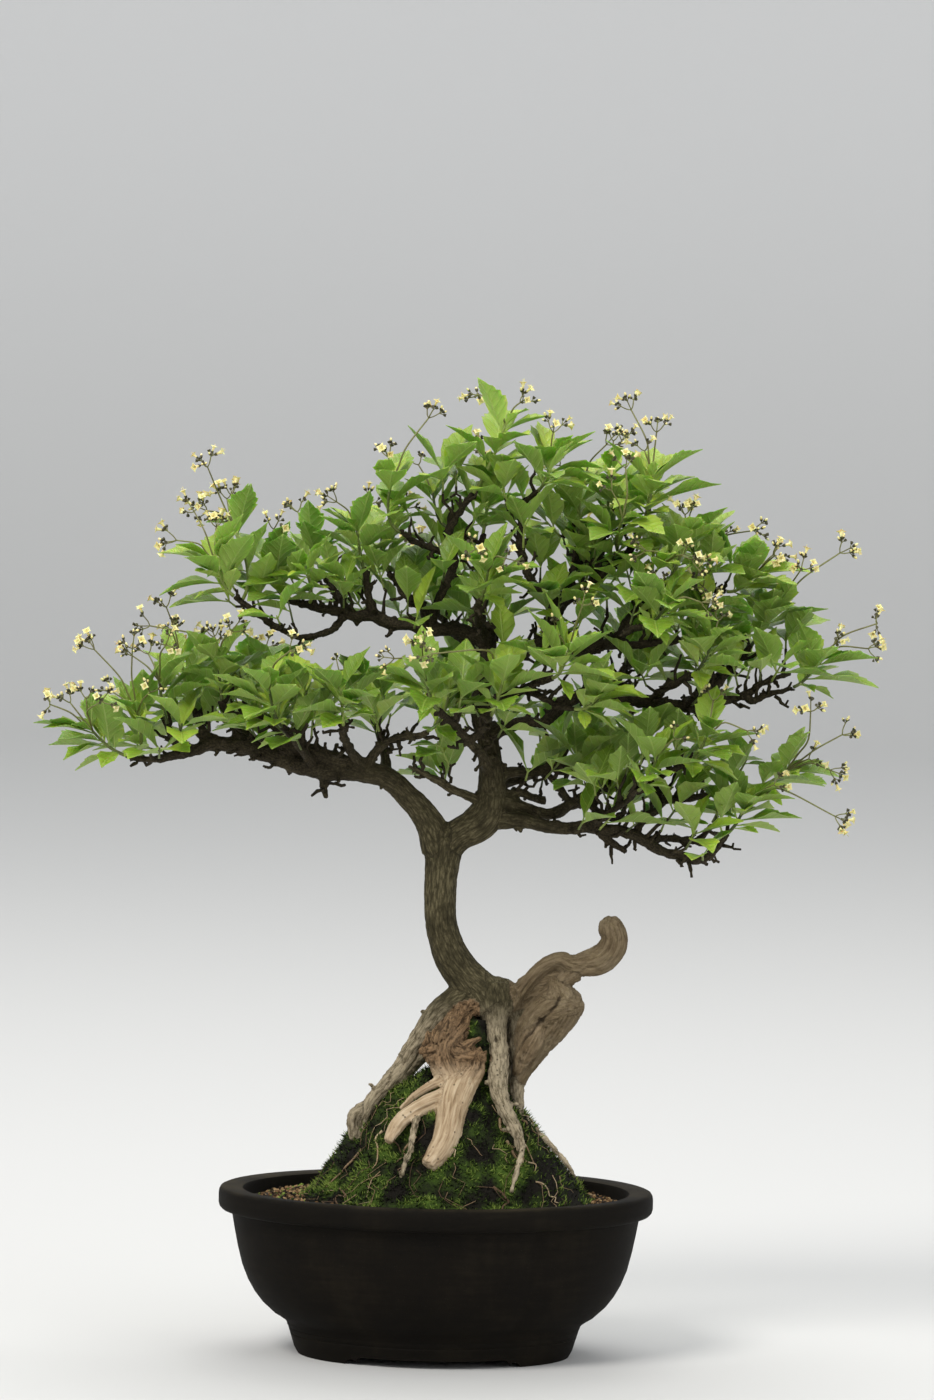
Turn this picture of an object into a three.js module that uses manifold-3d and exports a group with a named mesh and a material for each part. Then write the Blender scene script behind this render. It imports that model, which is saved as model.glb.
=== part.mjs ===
// A Japanese premna bonsai in its lobed oval pot, at its real size in millimetres.
// +Z is up, the front of the tree looks along -Y, and the origin lies under the middle of the whole piece.
import * as THREE from "three";
import { mergeVertices } from "three/addons/utils/BufferGeometryUtils.js";
import Module from "manifold-3d";

const wasm = await Module();
wasm.setup();

// Pot
const POT_SEGMENTS = 30;
const DEPTH_RATIO = 0.748; // the oval's depth over its length
const CREASE_ANGLE = Math.PI / 3; // where an end lobe meets a side lobe, from the long axis
const CREASE_DIP = 0.022; // how far the outline dips there, over its half length
const WALL_OUTSIDE = [
  [82, 0],
  [86, 10],
  [89, 19.5],
  [97, 24.5],
  [104, 31],
  [112.5, 44],
  [119, 64],
  [123, 85.5],
]; // half length and height, from the foot up to the rim band
const RIM = [
  [129, 86],
  [131, 90],
  [131, 97.5],
  [129.5, 100],
  [116, 99],
];
const WALL_INSIDE = [
  [114, 78],
  [108, 52],
  [97, 31],
  [84, 17],
  [78, 14],
];
const FLOOR_TOP = 14;
const FLOOR_UNDERSIDE = 6;
const FOOT_INSIDE = 73.5;
const LONG_ARCH = 52; // half length of the opening between two feet, front and back
const END_ARCH = 22;
const ARCH_HEIGHT = 5;
const DRAIN_RADIUS = 9;
const DRAIN_PLACE = 40;
const SCREEN_SIDE = 26;
const SCREEN_THICK = 1.2;
const SLOT_WIDTH = 2.6;
const SLOT_LENGTH = 21;
const SLOT_PITCH = 5.6;

// Soil and moss
const SOIL_TOP = 93;
const SOIL_DIP = 1.5; // how much lower it lies at the wall
const MOUND_CENTRE = [7, 2];
const MOUND_HALF_LENGTH = 84;
const MOUND_HALF_DEPTH = 64;
const MOUND_HEIGHT = 70;
const MOUND_SECTORS = 24;
const MOUND_RINGS = [1, 0.88, 0.72, 0.52, 0.28];

// Clearances
const TOUCH = 0.35; // between two pieces that rest on or grow from each other
const LEAF_ROOM = 4.4; // between the blades of two sprays
const KIN_ROOM = 3; // between two blades of one spray
const STEM_ROOM = 2.3; // between a blade and its own stem
const WOOD_ROOM = 3.1; // between a blade and the bark of wood
const STALK_PART = 0.8; // the share of this room that a thin stalk needs
const ROUTE_SLACK = 2.2; // how far a faceted branch may run from its route
const CELL = 14; // side of the cubes in which places are looked up

// Stems, with the shares of their length between which the leaf pairs stand
const STEM_RADIUS = 1.4;
const STEM_TAPER = 0.4;
const STEM_FOOT = 0.36;
const SHOOT_START = 8; // how far before a branch's listed end its wood gives way to the shoot

// Leaves, with places along and across the blade as shares of its length and width
const LEAF_WIDTH = 0.5; // width over length
const LEAF_THICK = 1.3;
const LEAF_EDGE = [
  [0.26, 0.24],
  [0.5, 0.5],
  [0.69, 0.42],
  [0.77, 0.27],
]; // half widths up one side, with the tooth and the notch behind it
const LEAF_RIB = [0.34, 0.72]; // where the midrib has its points
const LEAF_FOLD = 0.42; // how far the halves rise from the midrib, in radians
const INNER_PART = 0.14; // share of a blade's length that may come near others of its own spray
const LOWEST_RISE = 0.1; // the flattest and the steepest way up in which a leaf starts, in radians
const HIGHEST_RISE = 1.3;
const TRIES = 14;

// Flowers
const STALK_RADIUS = 0.55;
const SHORTEST_STALK = 23;
const FLOWER_RADIUS = 1.9;
const FLOWER_WAIST = 0.68; // where a flower is widest, from its fork to its mouth
const HEAD_HEIGHT = 8; // from the fork of a head to the middle of its flowers
const HEAD_SPREAD = 7;
const FORK_POINT = 1.2; // how far a fork's middle stands out between its arms

// Wood routes, in a list chosen by eye: each point is x, y, z and the radius there.
const TRUNK = [
  [31, 0, 212, 14],
  [23, 0, 221, 12.5],
  [14, 0, 230, 11.3],
  [7, 0, 240, 10.6],
  [3, 0, 250, 10],
  [0, 0, 261, 9.6],
  [-1, 0, 275, 9.7],
  [-0.5, 0, 290, 10],
  [0.5, 0, 303, 11.2],
  [1, 0, 311, 11],
];

const LIMBS = {
  left_limb: [
    [-2, 0, 306, 11],
    [-7, 0, 319, 9.2],
    [-15, -1, 330, 7.8],
    [-22, -2, 337, 7.1],
    [-29, -3, 344, 6.7],
    [-37, -4, 349, 6.6],
    [-48, -5, 351, 6.5],
    [-60, -6, 352, 6.3],
    [-74, -7, 352, 6.2],
    [-88, -7, 355, 5.6],
    [-101, -6, 359, 5.2],
    [-114, -5, 363, 4.8],
    [-127, -4, 366, 4.6],
    [-139, -4, 366, 4.2],
    [-151, -5, 362, 3.4],
    [-163, -8, 359, 2.8],
    [-176, -11, 356, 2.2],
    [-188, -13, 358, 1.7],
    [-198, -15, 361, 1.4],
  ],
  right_limb: [
    [1, 0, 306, 11],
    [10, 0, 314, 10],
    [20, 0, 320, 11],
    [27, 0, 328, 11],
    [29, 1, 337, 9.6],
    [29, 1, 347, 8],
    [28, 2, 357, 7],
    [27, 2, 366, 6.4],
    [24, 3, 376, 6.2],
    [21, 3, 386, 6],
    [21, 4, 397, 5.8],
    [23, 5, 410, 5.6],
    [25, 5, 424, 5.4],
    [25, 3, 434, 5.2],
    [25, -1, 441, 5],
  ],
  leader: [
    [22, 5, 403, 4.6],
    [28, 4, 410, 4.4],
    [35, 3, 417, 4.2],
    [43, 2, 422, 4],
    [52, 1, 428, 4],
    [61, 1, 432, 4.2],
    [70, 1, 433, 4],
    [76, 0, 427, 3.6],
    [81, 0, 425, 3.5],
    [89, -1, 428, 3.6],
    [97, -1, 430, 3.7],
    [105, -1, 431, 3.6],
  ],
  low_right: [
    [30, 0, 324, 7],
    [40, -2, 324, 5.6],
    [50, -4, 323, 4.6],
    [62, -6, 320.5, 4.1],
    [73, -7, 320, 3.8],
    [84, -8, 321, 3.6],
    [95, -9, 320, 3.6],
    [106, -10, 319, 3.4],
    [116, -12, 316, 3.2],
    [124, -13, 311, 3.2],
    [132, -14, 307, 3],
    [141, -15, 305, 3],
    [150, -16, 303, 2.9],
    [158, -18, 304, 2.6],
    [164, -19, 310, 2.3],
    [169, -20, 318, 2],
    [175, -21, 324, 1.7],
  ],
  mid_right: [
    [33, 0, 335, 5.4],
    [45, 2, 332, 4.2],
    [56, 4, 328, 3.7],
    [66, 5, 327, 3.6],
    [75, 5, 332, 3.6],
    [86, 5, 338.5, 3.6],
    [98, 5, 344, 3.5],
    [109, 5, 344, 3.4],
    [120, 6, 343.5, 3.2],
    [128, 6, 341.5, 3],
    [136, 7, 337, 2.9],
    [146, 7, 338, 2.5],
    [157, 8, 340, 2.1],
    [168, 8, 342.5, 1.8],
    [180, 8, 344, 1.5],
    [193, 8, 346, 1.3],
  ],
  high_right: [
    [28, 2, 374, 4.8],
    [38, 5, 379.5, 4],
    [47, 7, 382, 3.8],
    [57, 8, 380.5, 3.5],
    [65, 9, 387.5, 3.5],
    [74, 10, 395, 3.7],
    [85, 11, 399, 4],
    [96, 11, 399.5, 4],
    [107, 11, 397.5, 4],
    [117, 11, 396.5, 4],
    [127, 11, 395, 3.9],
    [138, 11, 394, 3.6],
    [152, 11, 393, 3.4],
    [164, 12, 396.5, 3],
    [174, 12, 399, 2.6],
    [182, 12, 402, 2.3],
    [190, 12, 408, 2],
    [199, 12, 412, 1.6],
    [208, 12, 415, 1.4],
  ],
  upper_left: [
    [23, 4, 430, 4.8],
    [8, 3, 437, 4.2],
    [-11, 4, 437, 4],
    [-22, 5, 440, 3.8],
    [-33, 6, 440, 3.8],
    [-44, 6, 445, 3.8],
    [-56, 6, 444, 3.4],
    [-66, 7, 447, 3.1],
    [-76, 8, 448, 2.8],
    [-86, 8, 451, 2.4],
    [-95, 9, 453, 1.9],
    [-103, 10, 458, 1.5],
  ],
};

const BRANCHES = {
  left_strand: [
    [-50, -8, 354, 4],
    [-66, -12, 359, 4.2],
    [-82, -11, 364, 3.8],
    [-96, -7, 368, 3.4],
    [-110, -3, 368.5, 3],
    [-131, -3, 368, 3],
  ],
  left_hook: [
    [-72, -7, 350, 3],
    [-72, -7, 342, 2.2],
    [-70, -8, 335, 1.6],
  ],
  left_rise: [
    [-92, -8, 361, 3.6],
    [-98, -10, 370, 3],
    [-102, -12, 378, 2.8],
    [-110, -14, 383, 2.8],
    [-127, -17, 385, 2.6],
    [-133, -19, 391, 2.3],
    [-134, -19, 398, 1.9],
  ],
  left_fork: [
    [-136, -4, 367, 3.2],
    [-144, -2, 373, 2.5],
    [-150, 2, 383, 2],
    [-155, 6, 393, 1.6],
  ],
  left_twig: [
    [-157, -7, 361, 2.4],
    [-162, -10, 367, 2],
    [-165, -14, 376, 1.7],
    [-168, -16, 384, 1.4],
  ],
  left_back: [
    [-72, -5, 354, 3.4],
    [-84, 14, 364, 2.9],
    [-98, 34, 374, 2.4],
    [-112, 56, 382, 1.9],
    [-118, 72, 388, 1.5],
  ],
  left_rear: [
    [-108, -3, 363, 3],
    [-118, 16, 370, 2.5],
    [-132, 36, 378, 2],
    [-146, 52, 384, 1.5],
  ],
  left_front: [
    [-78, -9, 355, 3.2],
    [-84, -26, 364, 2.7],
    [-92, -42, 374, 2.2],
    [-100, -56, 384, 1.6],
  ],
  left_near: [
    [-48, -7, 354, 3.6],
    [-56, -22, 364, 3],
    [-60, -38, 375, 2.4],
    [-60, -54, 386, 1.7],
  ],
  left_inner: [
    [-46, -6, 356, 3],
    [-40, -14, 365, 2.8],
    [-30, -24, 372, 2.5],
    [-16, -32, 375, 2.2],
    [-4, -40, 381, 1.7],
  ],
  rear_left: [
    [-34, -1, 350, 3.4],
    [-36, 18, 362, 2.9],
    [-40, 38, 374, 2.4],
    [-48, 58, 384, 1.7],
  ],
  spur: [
    [22, -2, 333, 3.4],
    [11, -5, 339, 2.8],
    [4, -8, 343, 2.7],
    [-3, -11, 347, 2.6],
    [-11, -14, 351, 1.9],
    [-21, -18, 356, 1.2],
  ],
  front_centre: [
    [27, -2, 354, 4],
    [22, -18, 364, 3.3],
    [13, -36, 374, 2.8],
    [3, -54, 386, 2.3],
    [-8, -68, 396, 1.7],
  ],
  front_fork: [
    [15, -33, 372, 2.6],
    [24, -48, 382, 2.2],
    [30, -62, 394, 1.6],
  ],
  front_right: [
    [24, -1, 392, 3.8],
    [34, -18, 398, 3.1],
    [46, -36, 404, 2.6],
    [58, -54, 410, 2.1],
    [68, -68, 414, 1.6],
  ],
  front_right_fork: [
    [47, -38, 404, 2.3],
    [66, -44, 396, 2],
    [84, -52, 392, 1.6],
  ],
  front_high: [
    [24, 0, 432, 3.4],
    [20, -16, 442, 2.8],
    [18, -32, 452, 2.3],
    [22, -48, 461, 1.7],
  ],
  rear_centre: [
    [28, 4, 356, 3.8],
    [30, 24, 368, 3.2],
    [26, 46, 380, 2.6],
    [18, 68, 390, 2.1],
    [10, 84, 398, 1.6],
  ],
  rear_right: [
    [30, 5, 342, 3.6],
    [48, 24, 348, 3],
    [66, 44, 354, 2.5],
    [84, 62, 360, 1.7],
  ],
  rear_high: [
    [24, 7, 414, 3.6],
    [14, 28, 426, 3],
    [2, 50, 436, 2.4],
    [-8, 70, 446, 1.6],
  ],
  rear_leader: [
    [61, 3, 436, 3.4],
    [66, 24, 446, 2.9],
    [74, 46, 456, 2.3],
    [84, 64, 464, 1.6],
  ],
  rear_far: [
    [96, 12, 399, 3.4],
    [102, 34, 406, 2.8],
    [110, 56, 414, 2.2],
    [120, 76, 420, 1.6],
  ],
  rear_end: [
    [146, 12, 394, 2.8],
    [154, 30, 402, 2.4],
    [164, 48, 410, 1.9],
    [174, 60, 418, 1.5],
  ],
  rise_left: [
    [-44, 5, 446, 3],
    [-48, 4, 458, 2.4],
    [-50, 3, 470, 2],
    [-52, 2, 478, 1.6],
  ],
  rise_rear_left: [
    [-58, 7, 446, 2.6],
    [-64, 24, 454, 2.2],
    [-72, 40, 462, 1.8],
    [-78, 52, 470, 1.5],
  ],
  low_sweep: [
    [-62, 6, 444, 2.6],
    [-72, -4, 434, 2.2],
    [-88, -9, 432, 2],
    [-104, -12, 438, 2],
    [-112, -13, 445, 2.2],
    [-124, -14, 453, 1.8],
    [-134, -15, 460, 1.5],
  ],
  cross_left: [
    [-9, 4, 439, 3.2],
    [-16, 8, 451, 2.6],
    [-26, 10, 458, 2.3],
    [-34, 13, 469, 1.9],
    [-40, 15, 477, 1.6],
  ],
  apex: [
    [-9, 4, 438, 3.4],
    [-7, 5, 449, 3],
    [-2, 5, 462, 2.8],
    [4, 6, 478, 2.6],
    [0, 6, 490, 2.8],
    [1, 5, 499, 2.6],
    [7, 4, 508, 2.1],
    [13, 2, 517, 1.8],
    [19, 0, 526, 1.5],
  ],
  apex_left: [
    [2, 6, 483, 2.4],
    [-8, 4, 485, 2.2],
    [-16, 1, 488, 2],
    [-26, -1, 494, 1.8],
    [-35, -3, 498, 1.5],
  ],
  apex_back: [
    [22, 7, 428, 4],
    [20, 12, 443, 3.6],
    [22, 16, 458, 3.2],
    [21, 18, 474, 2.8],
    [20, 20, 490, 2.2],
    [22, 24, 502, 1.6],
  ],
  crown_loop: [
    [61, 1, 432, 4],
    [63, 3, 446, 3.6],
    [62, 4, 457, 3.2],
    [52, 1, 466, 2.8],
    [46, -2, 476, 2.5],
    [43, -3, 490, 2.3],
    [43, -4, 502, 2.2],
    [43, -5, 513, 2],
    [51, -5, 520, 1.8],
    [58, -6, 526, 1.5],
  ],
  crown_right: [
    [63, 4, 451, 3.4],
    [74, 8, 462, 3],
    [86, 10, 466, 2.8],
    [97, 9, 476, 2.4],
    [108, 7, 486, 2.1],
    [116, 2, 500, 1.8],
    [119, -2, 511, 1.5],
  ],
  crown_mid: [
    [72, 8, 461, 2.8],
    [76, 14, 478, 2.3],
    [78, 16, 494, 1.9],
    [78, 16, 505, 1.5],
  ],
  crown_back: [
    [88, 10, 467, 2.4],
    [92, 24, 482, 2.1],
    [95, 34, 498, 1.8],
    [96, 38, 512, 1.5],
  ],
  leader_rise: [
    [104, -1, 431, 3.4],
    [108, 0, 444, 3],
    [118, -3, 454, 2.5],
    [128, -6, 464, 2.1],
    [136, -9, 474, 1.6],
  ],
  leader_fork: [
    [112, -1, 449, 2.6],
    [124, 8, 462, 2.2],
    [142, 14, 466, 2],
    [160, 16, 464, 1.8],
    [176, 14, 462, 1.5],
  ],
  leader_front: [
    [96, -2, 430, 3.2],
    [102, -18, 436, 2.6],
    [110, -34, 440, 2.2],
    [122, -48, 444, 1.6],
  ],
  leader_low: [
    [104, -1, 430, 2.8],
    [120, 2, 431, 2.4],
    [136, 2, 432, 2.1],
    [148, 0, 438, 1.6],
  ],
  high_right_end: [
    [181, 12, 401, 2.4],
    [185, 10, 397, 2.2],
    [194, 9, 401, 1.9],
    [206, 8, 405, 1.6],
    [216, 7, 409, 1.4],
  ],
  high_right_rise: [
    [150, 11, 395, 3],
    [162, 14, 405, 2.7],
    [172, 17, 417, 2.2],
    [182, 18, 428, 1.7],
    [188, 18, 436, 1.4],
  ],
  high_right_front: [
    [124, 9, 397, 2.8],
    [132, -6, 404, 2.4],
    [142, -20, 411, 2],
    [152, -32, 418, 1.5],
  ],
  low_right_fork: [
    [121, -13, 313, 2.6],
    [131, -8, 315, 2.4],
    [143, -3, 314, 2.2],
    [153, 2, 313.5, 2],
    [161, 6, 321, 1.7],
    [166, 8, 330, 1.4],
  ],
  low_right_stub: [
    [94, -9, 319, 2.8],
    [101, -8, 311, 2.4],
    [110, -7, 305.5, 1.5],
  ],
  low_right_link: [
    [116, -11, 317, 2.6],
    [120, -8, 325, 2.5],
    [129, -2, 332, 2.5],
    [133, 5, 338, 2.4],
  ],
  low_right_front: [
    [88, -9, 321, 2.8],
    [98, -26, 330, 2.3],
    [110, -42, 340, 1.9],
    [120, -54, 350, 1.5],
  ],
  mid_right_over: [
    [31, 1, 351, 4.4],
    [44, 5, 352, 3.3],
    [55, 9, 352, 3],
    [66, 12, 356, 3],
    [78, 13, 354.5, 2.7],
    [91, 9, 350.5, 2.4],
    [102, 6, 345, 2.4],
  ],
  mid_right_drop: [
    [60, 10, 353, 2.3],
    [67, 8, 346, 2.1],
    [76, 5, 335, 2.1],
  ],
  mid_right_stub: [
    [35, 0, 336, 3.4],
    [45, 5, 340, 2.7],
    [53, 9, 337, 2.5],
    [62, 11, 335, 2.7],
  ],
  mid_right_front: [
    [120, 5, 345, 2.7],
    [127, -12, 351, 2.3],
    [138, -28, 358, 1.9],
    [150, -40, 364, 1.5],
  ],
  mid_right_hook: [
    [84, 5, 337, 2.4],
    [93, 3, 330, 2.1],
    [103, 2, 325, 1.8],
    [110, 2, 330, 1.4],
  ],
};

const ROOTS = {
  left_stub: [
    [-38, -6, 151, 3.4],
    [-44, -7, 148, 4.6],
    [-49, -8, 143, 4.8],
    [-50, -9, 136, 4],
    [-50, -10, 130, 2.6],
  ],
  left_root: [
    [22, 1, 220, 11],
    [13, 1, 216, 9.6],
    [5, 0, 209.5, 8.8],
    [-3, -1, 202, 7.8],
    [-9, -2, 194.5, 6.9],
    [-14, -3, 187, 6],
    [-19, -4, 179.5, 5.3],
    [-24, -5, 172, 5],
    [-30, -6, 165, 4.8],
    [-36, -7, 158, 4.6],
    [-41, -8, 150.5, 4.2],
    [-45, -9, 140, 3.4],
    [-47, -10, 128, 2.4],
  ],
  front_root: [
    [32, -1, 224, 10],
    [33, -4, 215, 7.6],
    [34, -6, 204, 6.9],
    [35, -8, 192, 6],
    [36, -10, 182, 5.8],
    [36, -13, 172, 6],
    [37, -18, 163, 5.4],
    [40, -24, 154, 4.9],
    [44, -30, 145.5, 4.3],
    [48, -36, 138, 3.5],
    [50, -40, 128, 2.4],
  ],
  right_root: [
    [42, 5, 219, 8],
    [45, 4, 208, 5.6],
    [46, 3, 197, 5.1],
    [47, 2, 186, 5.1],
    [49, 1, 173, 5.1],
    [48, 0, 162, 4.8],
    [47.5, -1, 151, 4.4],
    [48.5, -2, 140, 3.8],
    [51, -3, 128, 2.6],
  ],
  rear_root: [
    [28, 7, 216, 8.5],
    [24, 14, 203, 7.2],
    [19, 21, 189, 6.4],
    [14, 27, 175, 5.8],
    [10, 33, 161, 5],
    [7, 38, 146, 4],
    [6, 41, 132, 2.8],
  ],
  rear_left_root: [
    [16, 5, 213, 7.5],
    [6, 13, 200, 6.4],
    [-5, 20, 186, 5.6],
    [-16, 26, 171, 5],
    [-25, 31, 156, 4.4],
    [-31, 35, 141, 3.4],
    [-34, 37, 127, 2.4],
  ],
  rear_right_root: [
    [41, 7, 214, 7],
    [43, 14, 200, 5.8],
    [44, 21, 186, 5.2],
    [45, 27, 171, 4.8],
    [46, 33, 156, 4.2],
    [47, 38, 141, 3.2],
    [47, 41, 127, 2.4],
  ],
};

// Pale dead wood, grown with the rest
const DEAD_WOOD = {
  dead_top: [
    [17, -8, 208, 3.6],
    [12, -12, 202, 8.5],
    [6, -14, 194, 10],
    [3, -15, 186, 11],
    [5, -16, 178, 11],
    [9, -17, 170, 9.5],
  ],
  dead_shoulder: [
    [-10, -14, 182, 4.6],
    [-4, -15, 185, 8],
    [8, -15, 184, 8.5],
    [20, -15, 182, 6.5],
    [28, -13, 181, 4],
  ],
  dead_blade: [
    [22, -14, 184, 6],
    [20, -16, 175, 8],
    [14, -20, 166, 10],
    [10, -26, 157, 10.5],
    [8, -32, 148, 9.3],
    [6.5, -38, 140, 8.2],
    [4, -43, 132.5, 7.4],
    [0, -47, 126, 6.8],
    [-5, -51, 120, 5],
  ],
  dead_arm: [
    [5, -26, 158, 7],
    [-4, -28, 155, 6],
    [-13, -31, 150.5, 5.4],
    [-21, -35, 145.5, 5],
    [-26, -39, 139, 4.4],
    [-29, -43, 133, 3],
  ],
  dead_strand: [
    [7, -18, 170, 4],
    [-1, -19, 166, 3.4],
    [-8, -19, 162, 2.8],
    [-15, -20, 157, 2.4],
    [-22, -23, 150, 1.8],
  ],
  horn_stem: [
    [48, 0, 164, 4],
    [52, -2, 173, 5],
    [57, -4, 182, 6.2],
    [63, -5, 191, 7.6],
    [69, -6, 200, 9.6],
    [73, -6, 209, 12],
    [73, -6, 217, 10.5],
    [70, -5, 225, 5.5],
  ],
  horn_lobe: [
    [50, 0, 188, 5.5],
    [55, -2, 197, 9],
    [62, -4, 205, 12],
    [71, -6, 211, 13],
    [80, -6, 213, 9.5],
    [86, -6, 215, 4.5],
  ],
  horn_back: [
    [44, 3, 214, 6],
    [52, 4, 221, 7.5],
    [62, 3, 226, 7.5],
    [72, 0, 229, 7],
    [80, -3, 231, 6],
  ],
  horn_arm: [
    [45, 0, 214, 4.4],
    [50, -2, 223, 4],
    [56, -3, 231, 4],
    [64, -4, 237.5, 4.2],
    [72, -5, 240, 4.8],
    [80, -6, 237.5, 6],
    [88, -6, 238, 7.6],
    [96, -6, 240.5, 8.4],
    [102, -6, 246, 8.6],
    [104.5, -6, 253, 8.4],
    [103, -6, 260, 7.6],
    [101, -6, 265.5, 5.2],
  ],
  horn_link: [
    [67, -5, 222, 4.4],
    [74, -5, 228, 5],
    [82, -6, 233, 5.4],
  ],
};

// Thin pale roots that run down over the moss
const RUNNERS = {
  runner_left: [
    [-11, -30, 150, 2.4],
    [-13, -39, 143, 2.1],
    [-14.5, -45, 136, 2.1],
    [-15.5, -49.5, 129, 2],
    [-19, -53.5, 121, 1.7],
    [-21, -55, 113, 1.3],
  ],
  runner_right: [
    [47, -35, 138, 2.4],
    [51, -41, 134, 2],
    [50.5, -46, 127, 1.8],
    [48.5, -50.5, 120, 1.8],
    [46.5, -53.5, 113, 1.6],
    [45, -55, 106, 1.2],
  ],
  runner_side: [
    [49, -3, 142, 3],
    [57, -8, 139, 2.4],
    [64, -11, 133, 2],
    [71, -13, 126.5, 1.8],
    [78, -15, 119, 1.5],
    [84, -16, 110, 1.1],
  ],
};

// Sprays: the wood that each grows from and how far along it, the place of its growing tip, the azimuth of
// its first leaf, the length of its leaves, its number of leaf pairs, and the middles of its flower heads.
const SPRAYS = [
  ["left_limb", 1, [-211, -18, 374], 170, 45, 3, [[-243, -22, 393], [-226, -30, 377]]],
  ["left_limb", 0.92, [-184, -22, 386], 215, 42, 3, [[-214, -30, 429], [-203, -36, 416]]],
  ["left_twig", 1, [-171, -20, 405], 150, 42, 3, [[-189, -26, 433], [-196, -32, 399]]],
  ["left_fork", 1, [-159, 8, 414], 120, 44, 3, [[-171, 4, 455]]],
  ["left_rise", 1, [-136, -22, 416], 215, 44, 3, [[-131, -46, 429], [-166, -44, 416]]],
  ["left_rear", 1, [-152, 58, 402], 130, 42, 3, [[-168, 62, 436]]],
  ["left_back", 1, [-120, 78, 407], 95, 42, 3, []],
  ["left_front", 1, [-104, -60, 403], 250, 44, 3, [[-88, -78, 432]]],
  ["left_front", 0.55, [-112, -36, 391], 190, 40, 2, []],
  ["left_near", 1, [-62, -60, 404], 222, 45, 3, [[-51, -80, 386]]],
  ["left_inner", 1, [2, -48, 399], 280, 42, 3, []],
  ["rear_left", 1, [-52, 64, 403], 80, 42, 3, []],
  ["front_centre", 1, [-12, -74, 414], 262, 44, 3, [[-37, -88, 421], [-24, -92, 422]]],
  ["front_fork", 1, [34, -68, 411], 272, 42, 3, [[-11, -94, 402]]],
  ["front_right", 1, [72, -74, 429], 318, 44, 3, [[64, -84, 448]]],
  ["front_right_fork", 1, [94, -58, 405], 330, 42, 3, []],
  ["front_high", 1, [24, -54, 475], 255, 44, 3, [[33, -80, 480], [3, -78, 468]]],
  ["rear_centre", 1, [8, 90, 415], 75, 42, 3, [[-4, 96, 444]]],
  ["rear_right", 1, [92, 70, 377], 40, 42, 3, []],
  ["rear_high", 1, [-12, 76, 463], 100, 42, 3, [[-22, 84, 492]]],
  ["rear_leader", 1, [88, 70, 482], 60, 42, 3, [[100, 78, 508]]],
  ["rear_far", 1, [124, 82, 437], 70, 42, 3, []],
  ["rear_end", 1, [182, 66, 435], 50, 40, 3, [[204, 74, 462]]],
  ["rise_left", 1, [-55, 1, 496], 145, 40, 3, [[-72, -6, 519], [-66, -4, 501]]],
  ["rise_rear_left", 1, [-84, 58, 487], 110, 40, 3, [[-96, 66, 512]]],
  ["upper_left", 1, [-108, 12, 475], 140, 44, 3, [[-104, 4, 503]]],
  ["upper_left", 0.79, [-84, -10, 469], 250, 38, 3, []],
  ["low_sweep", 1, [-139, -18, 476], 175, 44, 3, [[-166, -22, 487], [-178, -24, 482]]],
  ["low_sweep", 0.82, [-130, 12, 497], 130, 42, 3, [[-152, 4, 507], [-166, 4, 524]]],
  ["cross_left", 1, [-40, 20, 496], 130, 40, 3, []],
  ["apex_left", 1, [-35, -10, 524], 262, 42, 3, [[-38, -16, 548], [-21, -12, 561]]],
  ["apex", 0.62, [-10, 16, 519], 150, 38, 2, []],
  ["apex", 1, [33, -2, 562], 20, 43, 3, [[44, -6, 578], [28, -8, 569]]],
  ["apex_back", 1, [24, 28, 523], 80, 40, 3, [[14, 34, 552]]],
  ["crown_loop", 1, [60, -8, 542], 330, 42, 3, [[62, -12, 563]]],
  ["crown_mid", 1, [79, 18, 524], 60, 42, 3, [[98, 16, 557]]],
  ["crown_back", 1, [98, 42, 531], 88, 40, 3, [[106, 50, 560]]],
  ["crown_right", 1, [121, -4, 531], 10, 46, 3, [[124, -8, 566], [132, -10, 556]]],
  ["crown_right", 0.62, [104, -24, 507], 300, 42, 3, [[108, -30, 537]]],
  ["leader_rise", 1, [141, -12, 494], 320, 42, 3, [[141, -18, 517]]],
  ["leader_rise", 0.5, [128, -34, 481], 262, 40, 3, [[118, -44, 475], [148, -48, 479]]],
  ["leader_fork", 1, [186, 12, 475], 15, 44, 3, [[199, 6, 490], [207, 8, 472]]],
  ["leader_fork", 0.6, [156, 34, 487], 98, 40, 3, [[176, 30, 488]]],
  ["leader_front", 1, [130, -58, 457], 280, 42, 3, [[141, -66, 444]]],
  ["leader_low", 1, [156, -4, 453], 330, 42, 3, [[152, -12, 470]]],
  ["high_right_rise", 1, [197, 20, 451], 60, 44, 3, [[232, 16, 483], [229, 12, 461], [208, 14, 455]]],
  ["high_right_end", 1, [223, 6, 422], 350, 45, 3, [[257, 4, 425], [265, 6, 438]]],
  ["high_right_front", 1, [158, -38, 435], 310, 42, 3, []],
  ["low_right", 1, [181, -24, 339], 352, 40, 3, [[231, -28, 317]]],
  ["low_right_fork", 1, [171, 14, 351], 30, 40, 2, []],
  ["low_right_front", 1, [126, -60, 367], 250, 42, 3, []],
  ["mid_right_front", 1, [156, -46, 381], 290, 44, 3, [[190, -54, 376]]],
  ["mid_right", 1, [207, 6, 357], 10, 46, 3, [[238, 2, 347], [241, 4, 378], [219, 0, 372]]],
];

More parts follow.
